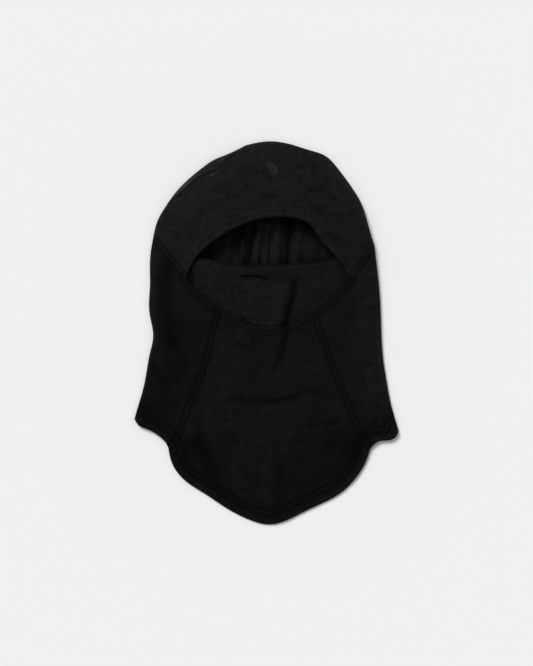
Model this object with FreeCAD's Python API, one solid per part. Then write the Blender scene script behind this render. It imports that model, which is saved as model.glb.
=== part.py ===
"""Balaclava in fine merino jersey, laid out on its back with the face opening upwards.

Frame: +Y runs towards the crown, +X to the right as seen from above, +Z up from the table.
The origin is the middle of the laid-out outline, on the table. All sizes are millimetres.

The garment is two layers of cloth. The back layer lies on the table. The front layer is a
low dome over it and meets it at folds along both sides and at the crown. Every panel is cut
from one of those layers with the edges of the sewing pattern below, so that neighbouring
panels share their seam. The mouth cover lies just inside the front layer and slides
down behind the bib when it is pulled under the chin.
"""
import FreeCAD
import Part
import math
import os

# Driving dimensions.
CLOTH = 1.2             # thickness of one layer of jersey
FOLD = 1.0              # thickness of the turned-under layer of a hem
PLY_GAP = 0.1           # room between two layers that lie on each other
THREAD_HEIGHT = 0.35    # how far a row of stitches stands off the cloth
THREAD_WIDTH = 0.8
THREAD_GAP = 0.03
CRUMB = 2.0             # volume below which a piece of a row is not worth keeping
TWIN_PITCH = 5.5        # distance between the two rows of a twin-needle seam
EDGE_ROW = 1.5          # distance of a row of stitches from the edge that it holds
SIDE_ROOM = 20.0        # the rows around the back of the neck end this far from the folds
HEM_WIDTH = 15.0        # turned-under width around the neck
BROW_HEM_WIDTH = 13.0
COVER_HEM_WIDTH = 10.0
VENT_THICKNESS = 0.5
BADGE_RADIUS = 8.0
BADGE_HEIGHT = 0.8
BADGE_CENTRE = (4.0, 172.0)

# The dome of the front layer.
HALF_WIDTH = 122.0      # where the dome meets the side folds
TOP_HEIGHT = 30.0       # outer face of the cloth at the middle of the hood
EDGE_HEIGHT = 5.2       # outer face at the side folds and the crown
BIB_EDGE_HEIGHT = 3.0   # outer face at the free edge of the bib, which lies on the table
CROWN_START = 85.0      # the dome is level along Y between these two lines
CROWN_RUN = 118.0
BIB_START = -60.0
BIB_RUN = 110.0
BIB_EDGE_FROM, BIB_EDGE_TO = -108.0, -140.0
DOME_POWER = 2.5
DOME_BLEND = 0.05       # softens the foot of the dome

# The mouth cover.
COVER_DROP = 3.0        # outer face of the cover below the outer face of the front layer

# Extent of the cutting prisms and of the grid that carries the dome.
SKY = 60.0
GRID_X, GRID_Y = 156.0, 216.0
GRID_COLUMNS, GRID_ROWS = 27, 37
INSET_STEP = 8.0        # spacing of the points that carry an inset outline
BAND_STEPS = 16         # points that carry the curve beside one pattern edge

# The sewing pattern: named edges, each the points that its curve passes through.
EDGES = {
    "side_left": [(-120, 102), (-123.4, 80), (-123.6, 50), (-124.2, 22), (-120.2, -4),
                  (-123.8, -22), (-127, -40), (-131.5, -62), (-136, -77), (-140, -91)],
    "side_right": [(114.3, 93), (117.3, 68), (120.3, 36), (121.5, 5), (123.3, -25),
                   (127, -50), (132, -76), (139.6, -102)],
    "crown_left_low": [(-120, 102), (-115.5, 119), (-109, 131)],
    "crown_left_high": [(-109, 131), (-98, 147), (-84, 162), (-69, 174.5), (-55, 184),
                        (-44, 188.5), (-38, 191), (-22, 199)],
    "crown_top": [(-22, 199), (-6, 202.5), (10, 203), (28, 199.5)],
    "crown_right": [(28, 199.5), (47, 193.5), (62, 188), (76, 174), (90, 155), (101, 136),
                    (108.5, 112), (114.3, 93)],
    "crown_seam_left": [(-109, 131), (-98, 142), (-85, 153.5), (-73, 164), (-60, 170),
                        (-50, 174), (-44, 180), (-36, 188.5), (-22, 199)],
    "brow_seam_left": [(-120, 102), (-108, 86), (-97, 73), (-84, 58)],
    "brow_seam_right": [(114.3, 93), (102, 76), (88, 57)],
    "face_edge": [(-84, 58), (-79, 72), (-66, 88.5), (-48, 102.5), (-27, 113.5), (-8, 119.8),
                  (13, 122.4), (33, 120.5), (46, 114.5), (54, 103), (63, 92), (74, 80),
                  (82, 69), (88, 57)],
    "chin_left": [(-84, 58), (-79, 51), (-73, 45.5), (-66, 38.5), (-59, 32), (-51.5, 27)],
    "chin_middle": [(-51.5, 27), (-43, 22.5), (-34, 18.5), (-25, 13), (-12, 6), (4, 3.3),
                    (18, 5.5), (31, 13), (41, 18), (52, 22.5)],
    "chin_right": [(52, 22.5), (59, 28), (67, 35), (75, 43), (82, 50), (88, 57)],
    "bib_left": [(-51.5, 27), (-53.5, 15), (-57, 0), (-60.5, -14), (-64.8, -32),
                 (-71.5, -50), (-80, -71), (-90, -98), (-97, -114), (-104, -122)],
    "bib_right": [(52, 22.5), (53.9, 8), (57.6, -2), (65.1, -22), (75.7, -50), (84.5, -71),
                  (91.8, -90), (100.6, -110), (110, -123)],
    "side_hem_left": [(-140, -91), (-136, -97.5), (-125, -102.5), (-113, -110), (-107, -116),
                      (-104, -122)],
    "side_hem_right": [(110, -123), (119, -115), (133, -113), (139, -107), (139.6, -102)],
    "bib_hem": [(-104, -122), (-101, -136), (-90, -153), (-66, -170), (-41, -186.5),
                (-18, -198), (4, -203), (26, -196.5), (46, -186.5), (78, -170), (96, -152),
                (105.5, -136), (110, -123)],
    "gusset_left_top": [(-22, 199), (-25, 140), (-26, 100), (-24, 60), (-19, 30)],
    "gusset_left_low": [(-19, 30), (-18, -40), (-16, -106.5)],
    "gusset_right_top": [(28, 199.5), (22, 120), (19, 30)],
    "gusset_right_low": [(19, 30), (18, -40), (16, -107.5)],
    "yoke_left": [(-120, 102), (-90, 62), (-55, 38), (-19, 30)],
    "yoke_right": [(114.3, 93), (88, 60), (55, 38), (19, 30)],
    "back_hem_left": [(-140, -91), (-100, -97), (-50, -104), (-16, -106.5)],
    "back_hem_middle": [(-16, -106.5), (0, -107.5), (16, -107.5)],
    "back_hem_right": [(16, -107.5), (50, -108), (100, -106), (139.6, -102)],
    "cover_edge": [(-100, 73), (-78, 77.5), (-65, 79), (-48, 74.5), (-20, 72), (0, 72),
                   (30, 73.5), (56, 76.5), (76, 79.5), (105, 76)],
    "cover_tuck": [(-100, 73), (-91, 52), (-79, 34), (-64, 19.5), (-48, 9), (-30, 1),
                   (-12, -6), (6, -9), (22, -7), (38, 0), (54, 10), (70, 20), (85, 35),
                   (95, 50), (105, 76)],
    "vent_top": [(-38, 61.5), (-3, 62), (32, 61.5)],
    "vent_sides": [(-38, 61.5), (-37, 43), (-33, 27), (-22, 13), (0, 7), (20, 12),
                   (25, 28), (29, 45), (32, 61.5)],
}


# The line of the front hem, carried on a little past the side folds at both ends.
NECK_LINE = [
    (-162, -76), (-140, -91), (-125, -102.5), (-113, -110), (-107, -116), *EDGES["bib_hem"],
    (119, -116.5), (133, -111.5), (162, -104)]
NECK_TOP = 60.0         # top of the area that the neck line bounds, well above the hem
NECK_CUT = -60.0        # nothing of the hem reaches above this line


def vector(x, y, z=0.0):
    return FreeCAD.Vector(x, y, z)


def edge(name):
    """The curve of one pattern edge, flat on the table."""
    curve = Part.BSplineCurve()
    curve.interpolate([vector(x, y) for x, y in EDGES[name]])
    return curve.toShape()


def flat_face(*names):
    """The flat cut that a closed ring of pattern edges goes round."""
    return Part.Face(Part.Wire(Part.__sortEdges__([edge(name) for name in names])))


def inset(face, distance):
    """A flat cut made smaller all round, on plain interpolated curves."""
    sides = []
    for side in face.makeOffset2D(-distance).OuterWire.Edges:
        curve = Part.BSplineCurve()
        curve.interpolate(side.discretize(max(2, int(side.Length / INSET_STEP) + 2)))
        sides.append(curve.toShape())
    return Part.Face(Part.Wire(Part.__sortEdges__(sides)))


def prism(*names):
    """Everything above the table inside a ring of pattern edges."""
    return flat_face(*names).extrude(vector(0, 0, SKY))


def dome_height(x, y):
    """Height of the front layer's outer face above the table."""
    if y > CROWN_START:
        along = (y - CROWN_START) / CROWN_RUN
    elif y < BIB_START:
        along = (BIB_START - y) / BIB_RUN
    else:
        along = 0.0
    swell = 1.0 - math.hypot(x / HALF_WIDTH, along) ** DOME_POWER
    swell = (swell + math.sqrt(swell * swell + DOME_BLEND ** 2)) / 2.0
    down = min(max((BIB_EDGE_FROM - y) / (BIB_EDGE_FROM - BIB_EDGE_TO), 0.0), 1.0)
    down = down * down * (3.0 - 2.0 * down)
    edge_height = EDGE_HEIGHT + (BIB_EDGE_HEIGHT - EDGE_HEIGHT) * down
    return edge_height + (TOP_HEIGHT - edge_height) * swell


def dome_face():
    """The outer face of the front layer as one smooth surface."""
    grid = []
    for i in range(GRID_COLUMNS):
        x = GRID_X * (2.0 * i / (GRID_COLUMNS - 1) - 1.0)
        column = []
        for j in range(GRID_ROWS):
            y = GRID_Y * (2.0 * j / (GRID_ROWS - 1) - 1.0)
            column.append(vector(x, y, dome_height(x, y)))
        grid.append(column)
    surface = Part.BSplineSurface()
    surface.interpolate(grid)
    return surface.toShape()


DOME = dome_face()


def front_layer(low, high):
    """A layer that follows the dome, from low to high above its outer face."""
    return DOME.translated(vector(0, 0, low)).extrude(vector(0, 0, high - low))


def back_layer(low, high):
    """A level layer from low to high above the table."""
    corner = vector(-GRID_X, -GRID_Y, low)
    return Part.makeBox(2 * GRID_X, 2 * GRID_Y, high - low, corner)


def beside(names, distance):
    """A curve beside a run of pattern edges, distance to the left of the way they run."""
    run = []
    for name in names:
        run += [vector(x, y) for x, y in EDGES[name] if vector(x, y) not in run]
    curve = Part.BSplineCurve()
    curve.interpolate(run)
    first, last = curve.FirstParameter, curve.LastParameter
    steps = BAND_STEPS * len(names)
    points = []
    for i in range(steps + 1):
        at = first + (last - first) * i / steps
        along = curve.tangent(at)[0]
        points.append(curve.value(at) + vector(-along.y, along.x) * distance)
    found = Part.BSplineCurve()
    found.interpolate(points)
    return found


def band(names, near, far):
    """The strip beside a run of pattern edges between two distances, as a prism."""
    low, high = beside(names, near), beside(names, far)
    sides = [
        low.toShape(),
        high.toShape(),
        Part.makeLine(low.StartPoint, high.StartPoint),
        Part.makeLine(low.EndPoint, high.EndPoint),
    ]
    return Part.Face(Part.Wire(Part.__sortEdges__(sides))).extrude(vector(0, 0, SKY))


def joined(*shapes):
    """Several solids that meet, as one."""
    return shapes[0].multiFuse(list(shapes[1:])).removeSplitter()


def rows(cloth, *lines):
    """Rows of stitches: each is a run of edges and a distance to the left of them."""
    half = THREAD_WIDTH / 2.0
    found = []
    for names, distance in lines:
        found += cloth.common(band(names, distance - half, distance + half)).Solids
    return Part.makeCompound([solid for solid in found if solid.Volume > CRUMB])


def twin(cloth, names, middle=0.0):
    """The two rows of a twin-needle seam, either side of a line beside the edges."""
    half = TWIN_PITCH / 2.0
    return rows(cloth, (names, middle - half), (names, middle + half))


def span(x_low, x_high, y_low, y_high):
    """An upright box over part of the table."""
    return Part.makeBox(x_high - x_low, y_high - y_low, SKY, vector(x_low, y_low))


SILHOUETTE = flat_face(
    "side_left", "side_hem_left", "bib_hem", "side_hem_right", "side_right", "crown_right",
    "crown_top", "crown_left_high", "crown_left_low")
INSIDE = inset(SILHOUETTE, CLOTH)
# The upright strip of cloth that turns from the front layer to the back layer.
TURN = SILHOUETTE.cut(INSIDE).extrude(vector(0, 0, SKY))
# The room between the turns, where the folded hems end.
CLEAR = inset(SILHOUETTE, CLOTH + PLY_GAP).extrude(vector(0, 0, SKY))
UNDER_DOME = front_layer(-SKY, 0.0)
UNDER_BROW = front_layer(-SKY, -CLOTH - PLY_GAP)

FRONT_CLOTH = front_layer(-CLOTH, 0.0)
BACK_CLOTH = back_layer(0.0, CLOTH)
FRONT_FOLD = front_layer(-CLOTH - PLY_GAP - FOLD, -CLOTH - PLY_GAP)
BACK_FOLD = back_layer(CLOTH + PLY_GAP, CLOTH + PLY_GAP + FOLD)
FRONT_THREAD = CLEAR.common(front_layer(THREAD_GAP, THREAD_GAP + THREAD_HEIGHT))
BACK_THREAD = CLEAR.common(back_layer(CLOTH + THREAD_GAP, CLOTH + THREAD_GAP + THREAD_HEIGHT))


def side_front(side):
    """The part of a side panel that lies in the front layer, as a prism."""
    return prism(f"brow_seam_{side}", f"chin_{side}", f"bib_{side}", f"side_hem_{side}",
                 f"side_{side}")


def side_panel(side, x_low, x_high, seam_end):
    """One piece of cloth from the bib seam round the side fold to the middle of the back."""
    front = side_front(side).common(FRONT_CLOTH)
    back = prism(f"yoke_{side}", f"gusset_{side}_low", f"back_hem_{side}",
                 f"side_{side}").common(BACK_CLOTH)
    hem_corner = EDGES[f"side_{side}"][-1][1]
    turn = TURN.common(span(x_low, x_high, hem_corner, seam_end)).common(UNDER_DOME)
    return joined(front, back, turn)


def hood_back_left():
    """The left back panel, which comes over the crown to the seam that shows in front."""
    back = prism("crown_left_low", "crown_left_high", "gusset_left_top",
                 "yoke_left").common(BACK_CLOTH)
    start, end = EDGES["crown_left_low"][0], EDGES["crown_left_high"][-1]
    turn = TURN.common(span(-GRID_X, end[0], start[1], GRID_Y)).common(UNDER_BROW)
    over_crown = prism("crown_left_high", "crown_seam_left")
    link = over_crown.common(TURN).common(UNDER_DOME)
    return joined(back, turn, link, over_crown.common(FRONT_CLOTH))


def hood_back_right():
    """The right back panel, which ends in the seam along the crown."""
    back = prism("crown_right", "gusset_right_top", "yoke_right").common(BACK_CLOTH)
    start, end = EDGES["crown_right"][0], EDGES["crown_right"][-1]
    turn = TURN.common(span(start[0], GRID_X, end[1], GRID_Y)).common(UNDER_BROW)
    return joined(back, turn)


def crown_gusset():
    """The long strip down the middle of the back, from the crown to the neck."""
    back = prism("crown_top", "gusset_left_top", "gusset_left_low", "back_hem_middle",
                 "gusset_right_low", "gusset_right_top").common(BACK_CLOTH)
    left, right = EDGES["crown_top"][0], EDGES["crown_top"][-1]
    turn = TURN.common(span(left[0], right[0], BIB_START, GRID_Y)).common(UNDER_BROW)
    return joined(back, turn)


def hem(cloth, names, width):
    """The turned-under cloth of a hem, on the left of the way its edges run."""
    return cloth.common(band(names, PLY_GAP, width)).common(CLEAR)


def neck_band(near, far):
    """The strip between two distances from the neck line, as a prism."""
    curve = Part.BSplineCurve()
    curve.interpolate([vector(x, y) for x, y in NECK_LINE])
    start, end = curve.StartPoint, curve.EndPoint
    corners = [end, vector(end.x, NECK_TOP), vector(start.x, NECK_TOP), start]
    above = Part.Face(Part.Wire([curve.toShape(), *Part.makePolygon(corners).Edges]))
    ring = inset(above, near).cut(inset(above, far))
    return ring.extrude(vector(0, 0, SKY)).common(span(-GRID_X, GRID_X, -GRID_Y, NECK_CUT))


def badge():
    """A plain round patch of satin stitch on the forehead."""
    disc = Part.Face(Part.Wire(Part.makeCircle(BADGE_RADIUS, vector(*BADGE_CENTRE))))
    return disc.extrude(vector(0, 0, SKY)).common(
        front_layer(THREAD_GAP, THREAD_GAP + BADGE_HEIGHT))


def on_cover(low, high):
    """A layer from low to high above the outer face of the mouth cover."""
    return front_layer(low - COVER_DROP, high - COVER_DROP)


def mouth_cover_hem():
    """The turned-under top edge of the mouth cover."""
    strip = band(["cover_edge"], -COVER_HEM_WIDTH, -PLY_GAP)
    fold = on_cover(-CLOTH - PLY_GAP - FOLD, -CLOTH - PLY_GAP)
    return strip.common(prism("cover_edge", "cover_tuck")).common(fold)


def vent_patch_stitching():
    """One row of stitches just inside the edge of the breathing patch."""
    low = THREAD_GAP + VENT_THICKNESS + THREAD_GAP
    near, far = EDGE_ROW - THREAD_WIDTH / 2.0, EDGE_ROW + THREAD_WIDTH / 2.0
    top = band(["vent_top"], -far, -near)
    sides = band(["vent_sides"], near, far)
    ring = joined(top, sides).common(prism("vent_top", "vent_sides"))
    return ring.common(on_cover(low, low + THREAD_HEIGHT))


def stitched_hem(cloth, names, width):
    """The twin rows that hold a hem of the given width."""
    return twin(cloth, names, width - EDGE_ROW - TWIN_PITCH / 2.0)


def neck_hem_stitching():
    """The twin rows around the front of the neck."""
    found = []
    for distance in (HEM_WIDTH - EDGE_ROW - TWIN_PITCH, HEM_WIDTH - EDGE_ROW):
        line = neck_band(distance - THREAD_WIDTH / 2.0, distance + THREAD_WIDTH / 2.0)
        found += FRONT_THREAD.common(line).Solids
    return Part.makeCompound(found)


CHIN = ["chin_left", "chin_middle", "chin_right"]
NECK_BACK = ["back_hem_left", "back_hem_middle", "back_hem_right"]

# Where the rows of one seam stop short of the rows of the next.
CHIN_ROOM = band(CHIN, -2 * EDGE_ROW - TWIN_PITCH, EDGE_ROW)
BROW_ROOM = band(["face_edge"], 0.0, BROW_HEM_WIDTH)
NECK_FOLD = neck_band(PLY_GAP, HEM_WIDTH)
BACK_ROOM = band(NECK_BACK, 0.0, HEM_WIDTH + EDGE_ROW)
GUSSET_ROOM = [
    band([f"gusset_{side}_top", f"gusset_{side}_low"], -TWIN_PITCH, TWIN_PITCH)
    for side in ("left", "right")]
CORNER_ROOM = [
    Part.makeCylinder(BROW_HEM_WIDTH, SKY, vector(*EDGES["face_edge"][end])) for end in (0, -1)]
FRONT_SEAM_THREAD = FRONT_THREAD.cut([CHIN_ROOM, BROW_ROOM, *CORNER_ROOM, NECK_FOLD])
BACK_SEAM_THREAD = BACK_THREAD.cut(BACK_ROOM)
YOKE_THREAD = BACK_THREAD.cut(GUSSET_ROOM)
BACK_HEM_TOP = CLOTH + PLY_GAP + FOLD + THREAD_GAP
BACK_HEM_ROOM = inset(SILHOUETTE, SIDE_ROOM).extrude(vector(0, 0, SKY))
BACK_HEM_THREAD = BACK_HEM_ROOM.common(
    back_layer(BACK_HEM_TOP, BACK_HEM_TOP + THREAD_HEIGHT))
CROWN_THREAD = FRONT_THREAD.cut([
    band([f"brow_seam_{side}"], -TWIN_PITCH, TWIN_PITCH) for side in ("left", "right")])
COVER = prism("cover_edge", "cover_tuck")
COVER_THREAD = COVER.common(on_cover(THREAD_GAP, THREAD_GAP + THREAD_HEIGHT))
BROW = prism("crown_left_low", "crown_seam_left", "crown_top", "crown_right",
             "brow_seam_right", "face_edge", "brow_seam_left")
BIB = prism("chin_middle", "bib_right", "bib_hem", "bib_left")

PARTS = {
    # Front layer
    "brow_panel": BROW.common(FRONT_CLOTH),
    "bib_panel": BIB.common(FRONT_CLOTH),
    "side_panel_left": side_panel("left", -GRID_X, 0.0, EDGES["side_left"][0][1]),
    "side_panel_right": side_panel("right", 0.0, GRID_X, EDGES["side_right"][0][1]),
    # Back layer
    "hood_back_left": hood_back_left(),
    "hood_back_right": hood_back_right(),
    "crown_gusset": crown_gusset(),
    # Mouth cover
    "mouth_cover_panel": COVER.common(on_cover(-CLOTH, 0.0)),
    "mouth_cover_hem": mouth_cover_hem(),
    "mouth_cover_hem_stitching": rows(
        COVER_THREAD, (["cover_edge"], EDGE_ROW - COVER_HEM_WIDTH)),
    "vent_patch": prism("vent_top", "vent_sides").common(
        on_cover(THREAD_GAP, THREAD_GAP + VENT_THICKNESS)),
    "vent_patch_stitching": vent_patch_stitching(),
    # Hems
    "brow_hem": hem(BROW.common(FRONT_FOLD), ["face_edge"], BROW_HEM_WIDTH),
    "bib_hem": BIB.common(FRONT_FOLD).common(NECK_FOLD).common(CLEAR),
    "side_hem_left": side_front("left").common(FRONT_FOLD).common(NECK_FOLD).common(CLEAR),
    "side_hem_right": side_front("right").common(FRONT_FOLD).common(NECK_FOLD).common(CLEAR),
    "back_hem": hem(BACK_FOLD, NECK_BACK, HEM_WIDTH),
    # Stitching
    "brow_hem_stitching": stitched_hem(
        FRONT_THREAD.cut(CHIN_ROOM), ["face_edge"], BROW_HEM_WIDTH),
    "neck_hem_stitching": neck_hem_stitching(),
    "back_hem_stitching": stitched_hem(BACK_HEM_THREAD, NECK_BACK, HEM_WIDTH),
    "crown_seam_stitching": rows(
        CROWN_THREAD,
        (["crown_seam_left"], -EDGE_ROW),
        (["crown_top"], -EDGE_ROW),
        (["crown_right"], -EDGE_ROW)),
    "brow_seam_stitching_left": twin(FRONT_SEAM_THREAD, ["brow_seam_left"]),
    "brow_seam_stitching_right": twin(FRONT_SEAM_THREAD, ["brow_seam_right"]),
    "chin_seam_stitching": twin(FRONT_THREAD, CHIN, -EDGE_ROW - TWIN_PITCH / 2.0),
    "bib_seam_stitching_left": twin(FRONT_SEAM_THREAD, ["bib_left"]),
    "bib_seam_stitching_right": twin(FRONT_SEAM_THREAD, ["bib_right"]),
    "gusset_seam_stitching_left": twin(
        BACK_SEAM_THREAD, ["gusset_left_top", "gusset_left_low"]),
    "gusset_seam_stitching_right": twin(
        BACK_SEAM_THREAD, ["gusset_right_top", "gusset_right_low"]),
    "yoke_seam_stitching_left": twin(YOKE_THREAD, ["yoke_left"]),
    "yoke_seam_stitching_right": twin(YOKE_THREAD, ["yoke_right"]),
    "forehead_badge": badge(),
}

os.makedirs("parts", exist_ok=True)
for name, shape in PARTS.items():
    shape.exportStep(f"parts/{name}.step")
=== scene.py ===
from collections import namedtuple
import math

import bpy
import numpy as np
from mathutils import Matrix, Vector, noise
from mathutils.geometry import delaunay_2d_cdt


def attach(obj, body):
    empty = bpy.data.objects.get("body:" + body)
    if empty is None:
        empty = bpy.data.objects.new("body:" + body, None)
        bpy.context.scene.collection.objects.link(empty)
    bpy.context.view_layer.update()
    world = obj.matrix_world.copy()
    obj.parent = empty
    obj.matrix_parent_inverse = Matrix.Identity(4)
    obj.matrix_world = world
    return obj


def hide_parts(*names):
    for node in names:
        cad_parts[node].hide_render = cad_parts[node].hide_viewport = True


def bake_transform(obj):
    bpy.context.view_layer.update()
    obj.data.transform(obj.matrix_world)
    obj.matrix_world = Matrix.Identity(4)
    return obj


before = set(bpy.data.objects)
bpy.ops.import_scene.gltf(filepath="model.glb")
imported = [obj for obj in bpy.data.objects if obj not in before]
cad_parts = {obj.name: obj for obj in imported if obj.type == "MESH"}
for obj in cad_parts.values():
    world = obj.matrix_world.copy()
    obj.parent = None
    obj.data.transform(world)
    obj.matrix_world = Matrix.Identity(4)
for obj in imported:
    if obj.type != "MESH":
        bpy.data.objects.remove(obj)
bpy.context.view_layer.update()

# All shapes below are worked out in millimetres in the row frame and turned into metres
# when a mesh is made. Left is -X, the crown is +Y, and the table is z = 0.
MM = 0.001

# ---------------------------------------------------------------- sewing pattern

EDGES = {
    "side_left": [(-120, 102), (-123.4, 80), (-123.6, 50), (-124.2, 22), (-120.2, -4),
                  (-123.8, -22), (-127, -40), (-131.5, -62), (-136, -77), (-140, -91)],
    "side_right": [(114.3, 93), (117.3, 68), (120.3, 36), (121.5, 5), (123.3, -25),
                   (127, -50), (132, -76), (139.6, -102)],
    "crown_left_low": [(-120, 102), (-115.5, 119), (-109, 131)],
    "crown_left_high": [(-109, 131), (-98, 147), (-84, 162), (-69, 174.5), (-55, 184),
                        (-44, 188.5), (-38, 191), (-22, 199)],
    "crown_top": [(-22, 199), (-6, 202.5), (10, 203), (28, 199.5)],
    "crown_right": [(28, 199.5), (47, 193.5), (62, 188), (76, 174), (90, 155), (101, 136),
                    (108.5, 112), (114.3, 93)],
    "crown_seam_left": [(-109, 131), (-98, 142), (-85, 153.5), (-73, 164), (-60, 170),
                        (-50, 174), (-44, 180), (-36, 188.5), (-22, 199)],
    "brow_seam_left": [(-120, 102), (-108, 86), (-97, 73), (-84, 58)],
    "brow_seam_right": [(114.3, 93), (102, 76), (88, 57)],
    "face_edge": [(-84, 58), (-79, 72), (-66, 88.5), (-48, 102.5), (-27, 113.5), (-8, 119.8),
                  (13, 122.4), (33, 120.5), (46, 114.5), (54, 103), (63, 92), (74, 80),
                  (82, 69), (88, 57)],
    "chin_left": [(-84, 58), (-79, 51), (-73, 45.5), (-66, 38.5), (-59, 32), (-51.5, 27)],
    "chin_middle": [(-51.5, 27), (-43, 22.5), (-34, 18.5), (-25, 13), (-12, 6), (4, 3.3),
                    (18, 5.5), (31, 13), (41, 18), (52, 22.5)],
    "chin_right": [(52, 22.5), (59, 28), (67, 35), (75, 43), (82, 50), (88, 57)],
    "bib_left": [(-51.5, 27), (-53.5, 15), (-57, 0), (-60.5, -14), (-64.8, -32),
                 (-71.5, -50), (-80, -71), (-90, -98), (-97, -114), (-104, -122)],
    "bib_right": [(52, 22.5), (53.9, 8), (57.6, -2), (65.1, -22), (75.7, -50), (84.5, -71),
                  (91.8, -90), (100.6, -110), (110, -123)],
    "side_hem_left": [(-140, -91), (-136, -97.5), (-125, -102.5), (-113, -110),
                      (-107, -116), (-104, -122)],
    "side_hem_right": [(110, -123), (119, -115), (133, -113), (139, -107), (139.6, -102)],
    "bib_hem": [(-104, -122), (-101, -136), (-90, -153), (-66, -170), (-41, -186.5),
                (-18, -198), (4, -203), (26, -196.5), (46, -186.5), (78, -170), (96, -152),
                (105.5, -136), (110, -123)],
    "gusset_left_top": [(-22, 199), (-25, 140), (-26, 100), (-24, 60), (-19, 30)],
    "gusset_left_low": [(-19, 30), (-18, -40), (-16, -106.5)],
    "gusset_right_top": [(28, 199.5), (22, 120), (19, 30)],
    "gusset_right_low": [(19, 30), (18, -40), (16, -107.5)],
    "yoke_left": [(-120, 102), (-90, 62), (-55, 38), (-19, 30)],
    "yoke_right": [(114.3, 93), (88, 60), (55, 38), (19, 30)],
    "back_hem_left": [(-140, -91), (-100, -97), (-50, -104), (-16, -106.5)],
    "back_hem_middle": [(-16, -106.5), (0, -107.5), (16, -107.5)],
    "back_hem_right": [(16, -107.5), (50, -108), (100, -106), (139.6, -102)],
    "cover_edge": [(-100, 73), (-78, 77.5), (-65, 79), (-48, 74.5), (-20, 72), (0, 72),
                   (30, 73.5), (56, 76.5), (76, 79.5), (105, 76)],
    "cover_tuck": [(-100, 73), (-91, 52), (-79, 34), (-64, 19.5), (-48, 9), (-30, 1),
                   (-12, -6), (6, -9), (22, -7), (38, 0), (54, 10), (70, 20), (85, 35),
                   (95, 50), (105, 76)],
    "vent_top": [(-38, 61.5), (-3, 62), (32, 61.5)],
    "vent_sides": [(-38, 61.5), (-37, 43), (-33, 27), (-22, 13), (0, 7), (20, 12),
                   (25, 28), (29, 45), (32, 61.5)],
}
OUTLINE_STEP = 1.2      # spacing of points along an outline


def spline(points, step=OUTLINE_STEP):
    """Points about step apart on the smooth curve through the given ones."""
    p = np.array(points, float)
    t = np.concatenate([[0.0], np.cumsum(np.linalg.norm(np.diff(p, axis=0), axis=1))])
    h = np.diff(t)
    n = len(p)
    left, right = np.eye(n), np.zeros((n, 2))
    for i in range(1, n - 1):
        left[i, i - 1], left[i, i], left[i, i + 1] = h[i - 1], 2 * (h[i - 1] + h[i]), h[i]
        right[i] = 6 * ((p[i + 1] - p[i]) / h[i] - (p[i] - p[i - 1]) / h[i - 1])
    m = np.linalg.solve(left, right)
    s = np.linspace(0.0, t[-1], max(2, int(round(t[-1] / step)) + 1))
    i = np.clip(np.searchsorted(t, s, side="right") - 1, 0, n - 2)
    a, b, hi = (t[i + 1] - s)[:, None], (s - t[i])[:, None], h[i][:, None]
    return (m[i] * a ** 3 + m[i + 1] * b ** 3) / (6 * hi) + (
        p[i] / hi - m[i] * hi / 6) * a + (p[i + 1] / hi - m[i + 1] * hi / 6) * b


LINES = {name: spline(points) for name, points in EDGES.items()}


def run(*names):
    """Several edges that follow each other, as one line."""
    return np.concatenate([LINES[names[0]], *[LINES[name][1:] for name in names[1:]]])


def ring(*names):
    """The closed outline that a set of edges goes round, without its last point."""
    left = {name: LINES[name] for name in names}
    loop = left.pop(names[0])
    while left:
        for name, points in left.items():
            if np.allclose(points[0], loop[-1], atol=1e-6):
                break
            if np.allclose(points[-1], loop[-1], atol=1e-6):
                points = points[::-1]
                break
        else:
            raise ValueError(f"the outline {names} doesn't close")
        loop = np.concatenate([loop, points[1:]])
        del left[name]
    loop = loop[:-1]
    area = (loop[:, 0] * np.roll(loop[:, 1], -1) - loop[:, 1] * np.roll(loop[:, 0], -1)).sum()
    return loop if area > 0 else loop[::-1]


CHUNK = 4000            # points measured at a time, to spare memory


def measure(xy, line):
    """For each point: its distance to a line, signed (left of the line is positive), and
    how far along the line it is."""
    a, d = line[:-1], np.diff(line, axis=0)
    length = np.hypot(d[:, 0], d[:, 1])
    start = np.concatenate([[0.0], np.cumsum(length)[:-1]])
    signed, along = np.empty(len(xy)), np.empty(len(xy))
    for low in range(0, len(xy), CHUNK):
        q = xy[low:low + CHUNK, None, :] - a[None]
        t = np.clip((q * d).sum(-1) / length ** 2, 0.0, 1.0)
        off = q - t[..., None] * d
        far = np.hypot(off[..., 0], off[..., 1])
        k = far.argmin(1)
        at = np.arange(len(k))
        side = d[k, 0] * q[at, k, 1] - d[k, 1] * q[at, k, 0]
        signed[low:low + CHUNK] = far[at, k] * np.where(side >= 0, 1.0, -1.0)
        along[low:low + CHUNK] = start[k] + t[at, k] * length[k]
    return signed, along


def ease(x):
    """0 below 0, 1 above 1, smooth between."""
    x = np.clip(x, 0.0, 1.0)
    return x * x * (3.0 - 2.0 * x)


def bump(x, width):
    """1 at 0, falling off smoothly on both sides."""
    return np.exp(-(x / width) ** 2)


def band(x, low, high, soft=1.0):
    """1 between low and high and 0 outside, with soft ends."""
    return ease((x - low) / soft + 0.5) * ease((high - x) / soft + 0.5)


FRACTAL = (0.6, 2.0, 3)  # how much each finer octave fades, how much finer it is, and how many


def ripple(xy, width, length, seed):
    """Smooth repeatable unevenness, about -1 to 1, of a given size."""
    return np.array([
        noise.fractal(Vector((x / width, y / length, seed)), *FRACTAL) for x, y in xy])


# ---------------------------------------------------------------- height of the cloth

CLOTH = 0.9             # thickness of one layer of jersey
HEM_CLOTH = 1.8         # of a turned hem
SEAM_CLOTH = 1.4        # of the edge sewn over the mouth cover
COVER_HEM_CLOTH = 1.5
THINNEST = 0.4          # of the back layer, in the grooves of its seams
COVER_DROP = 4.5        # outer face of the cover below the outer face of the front layer
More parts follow.
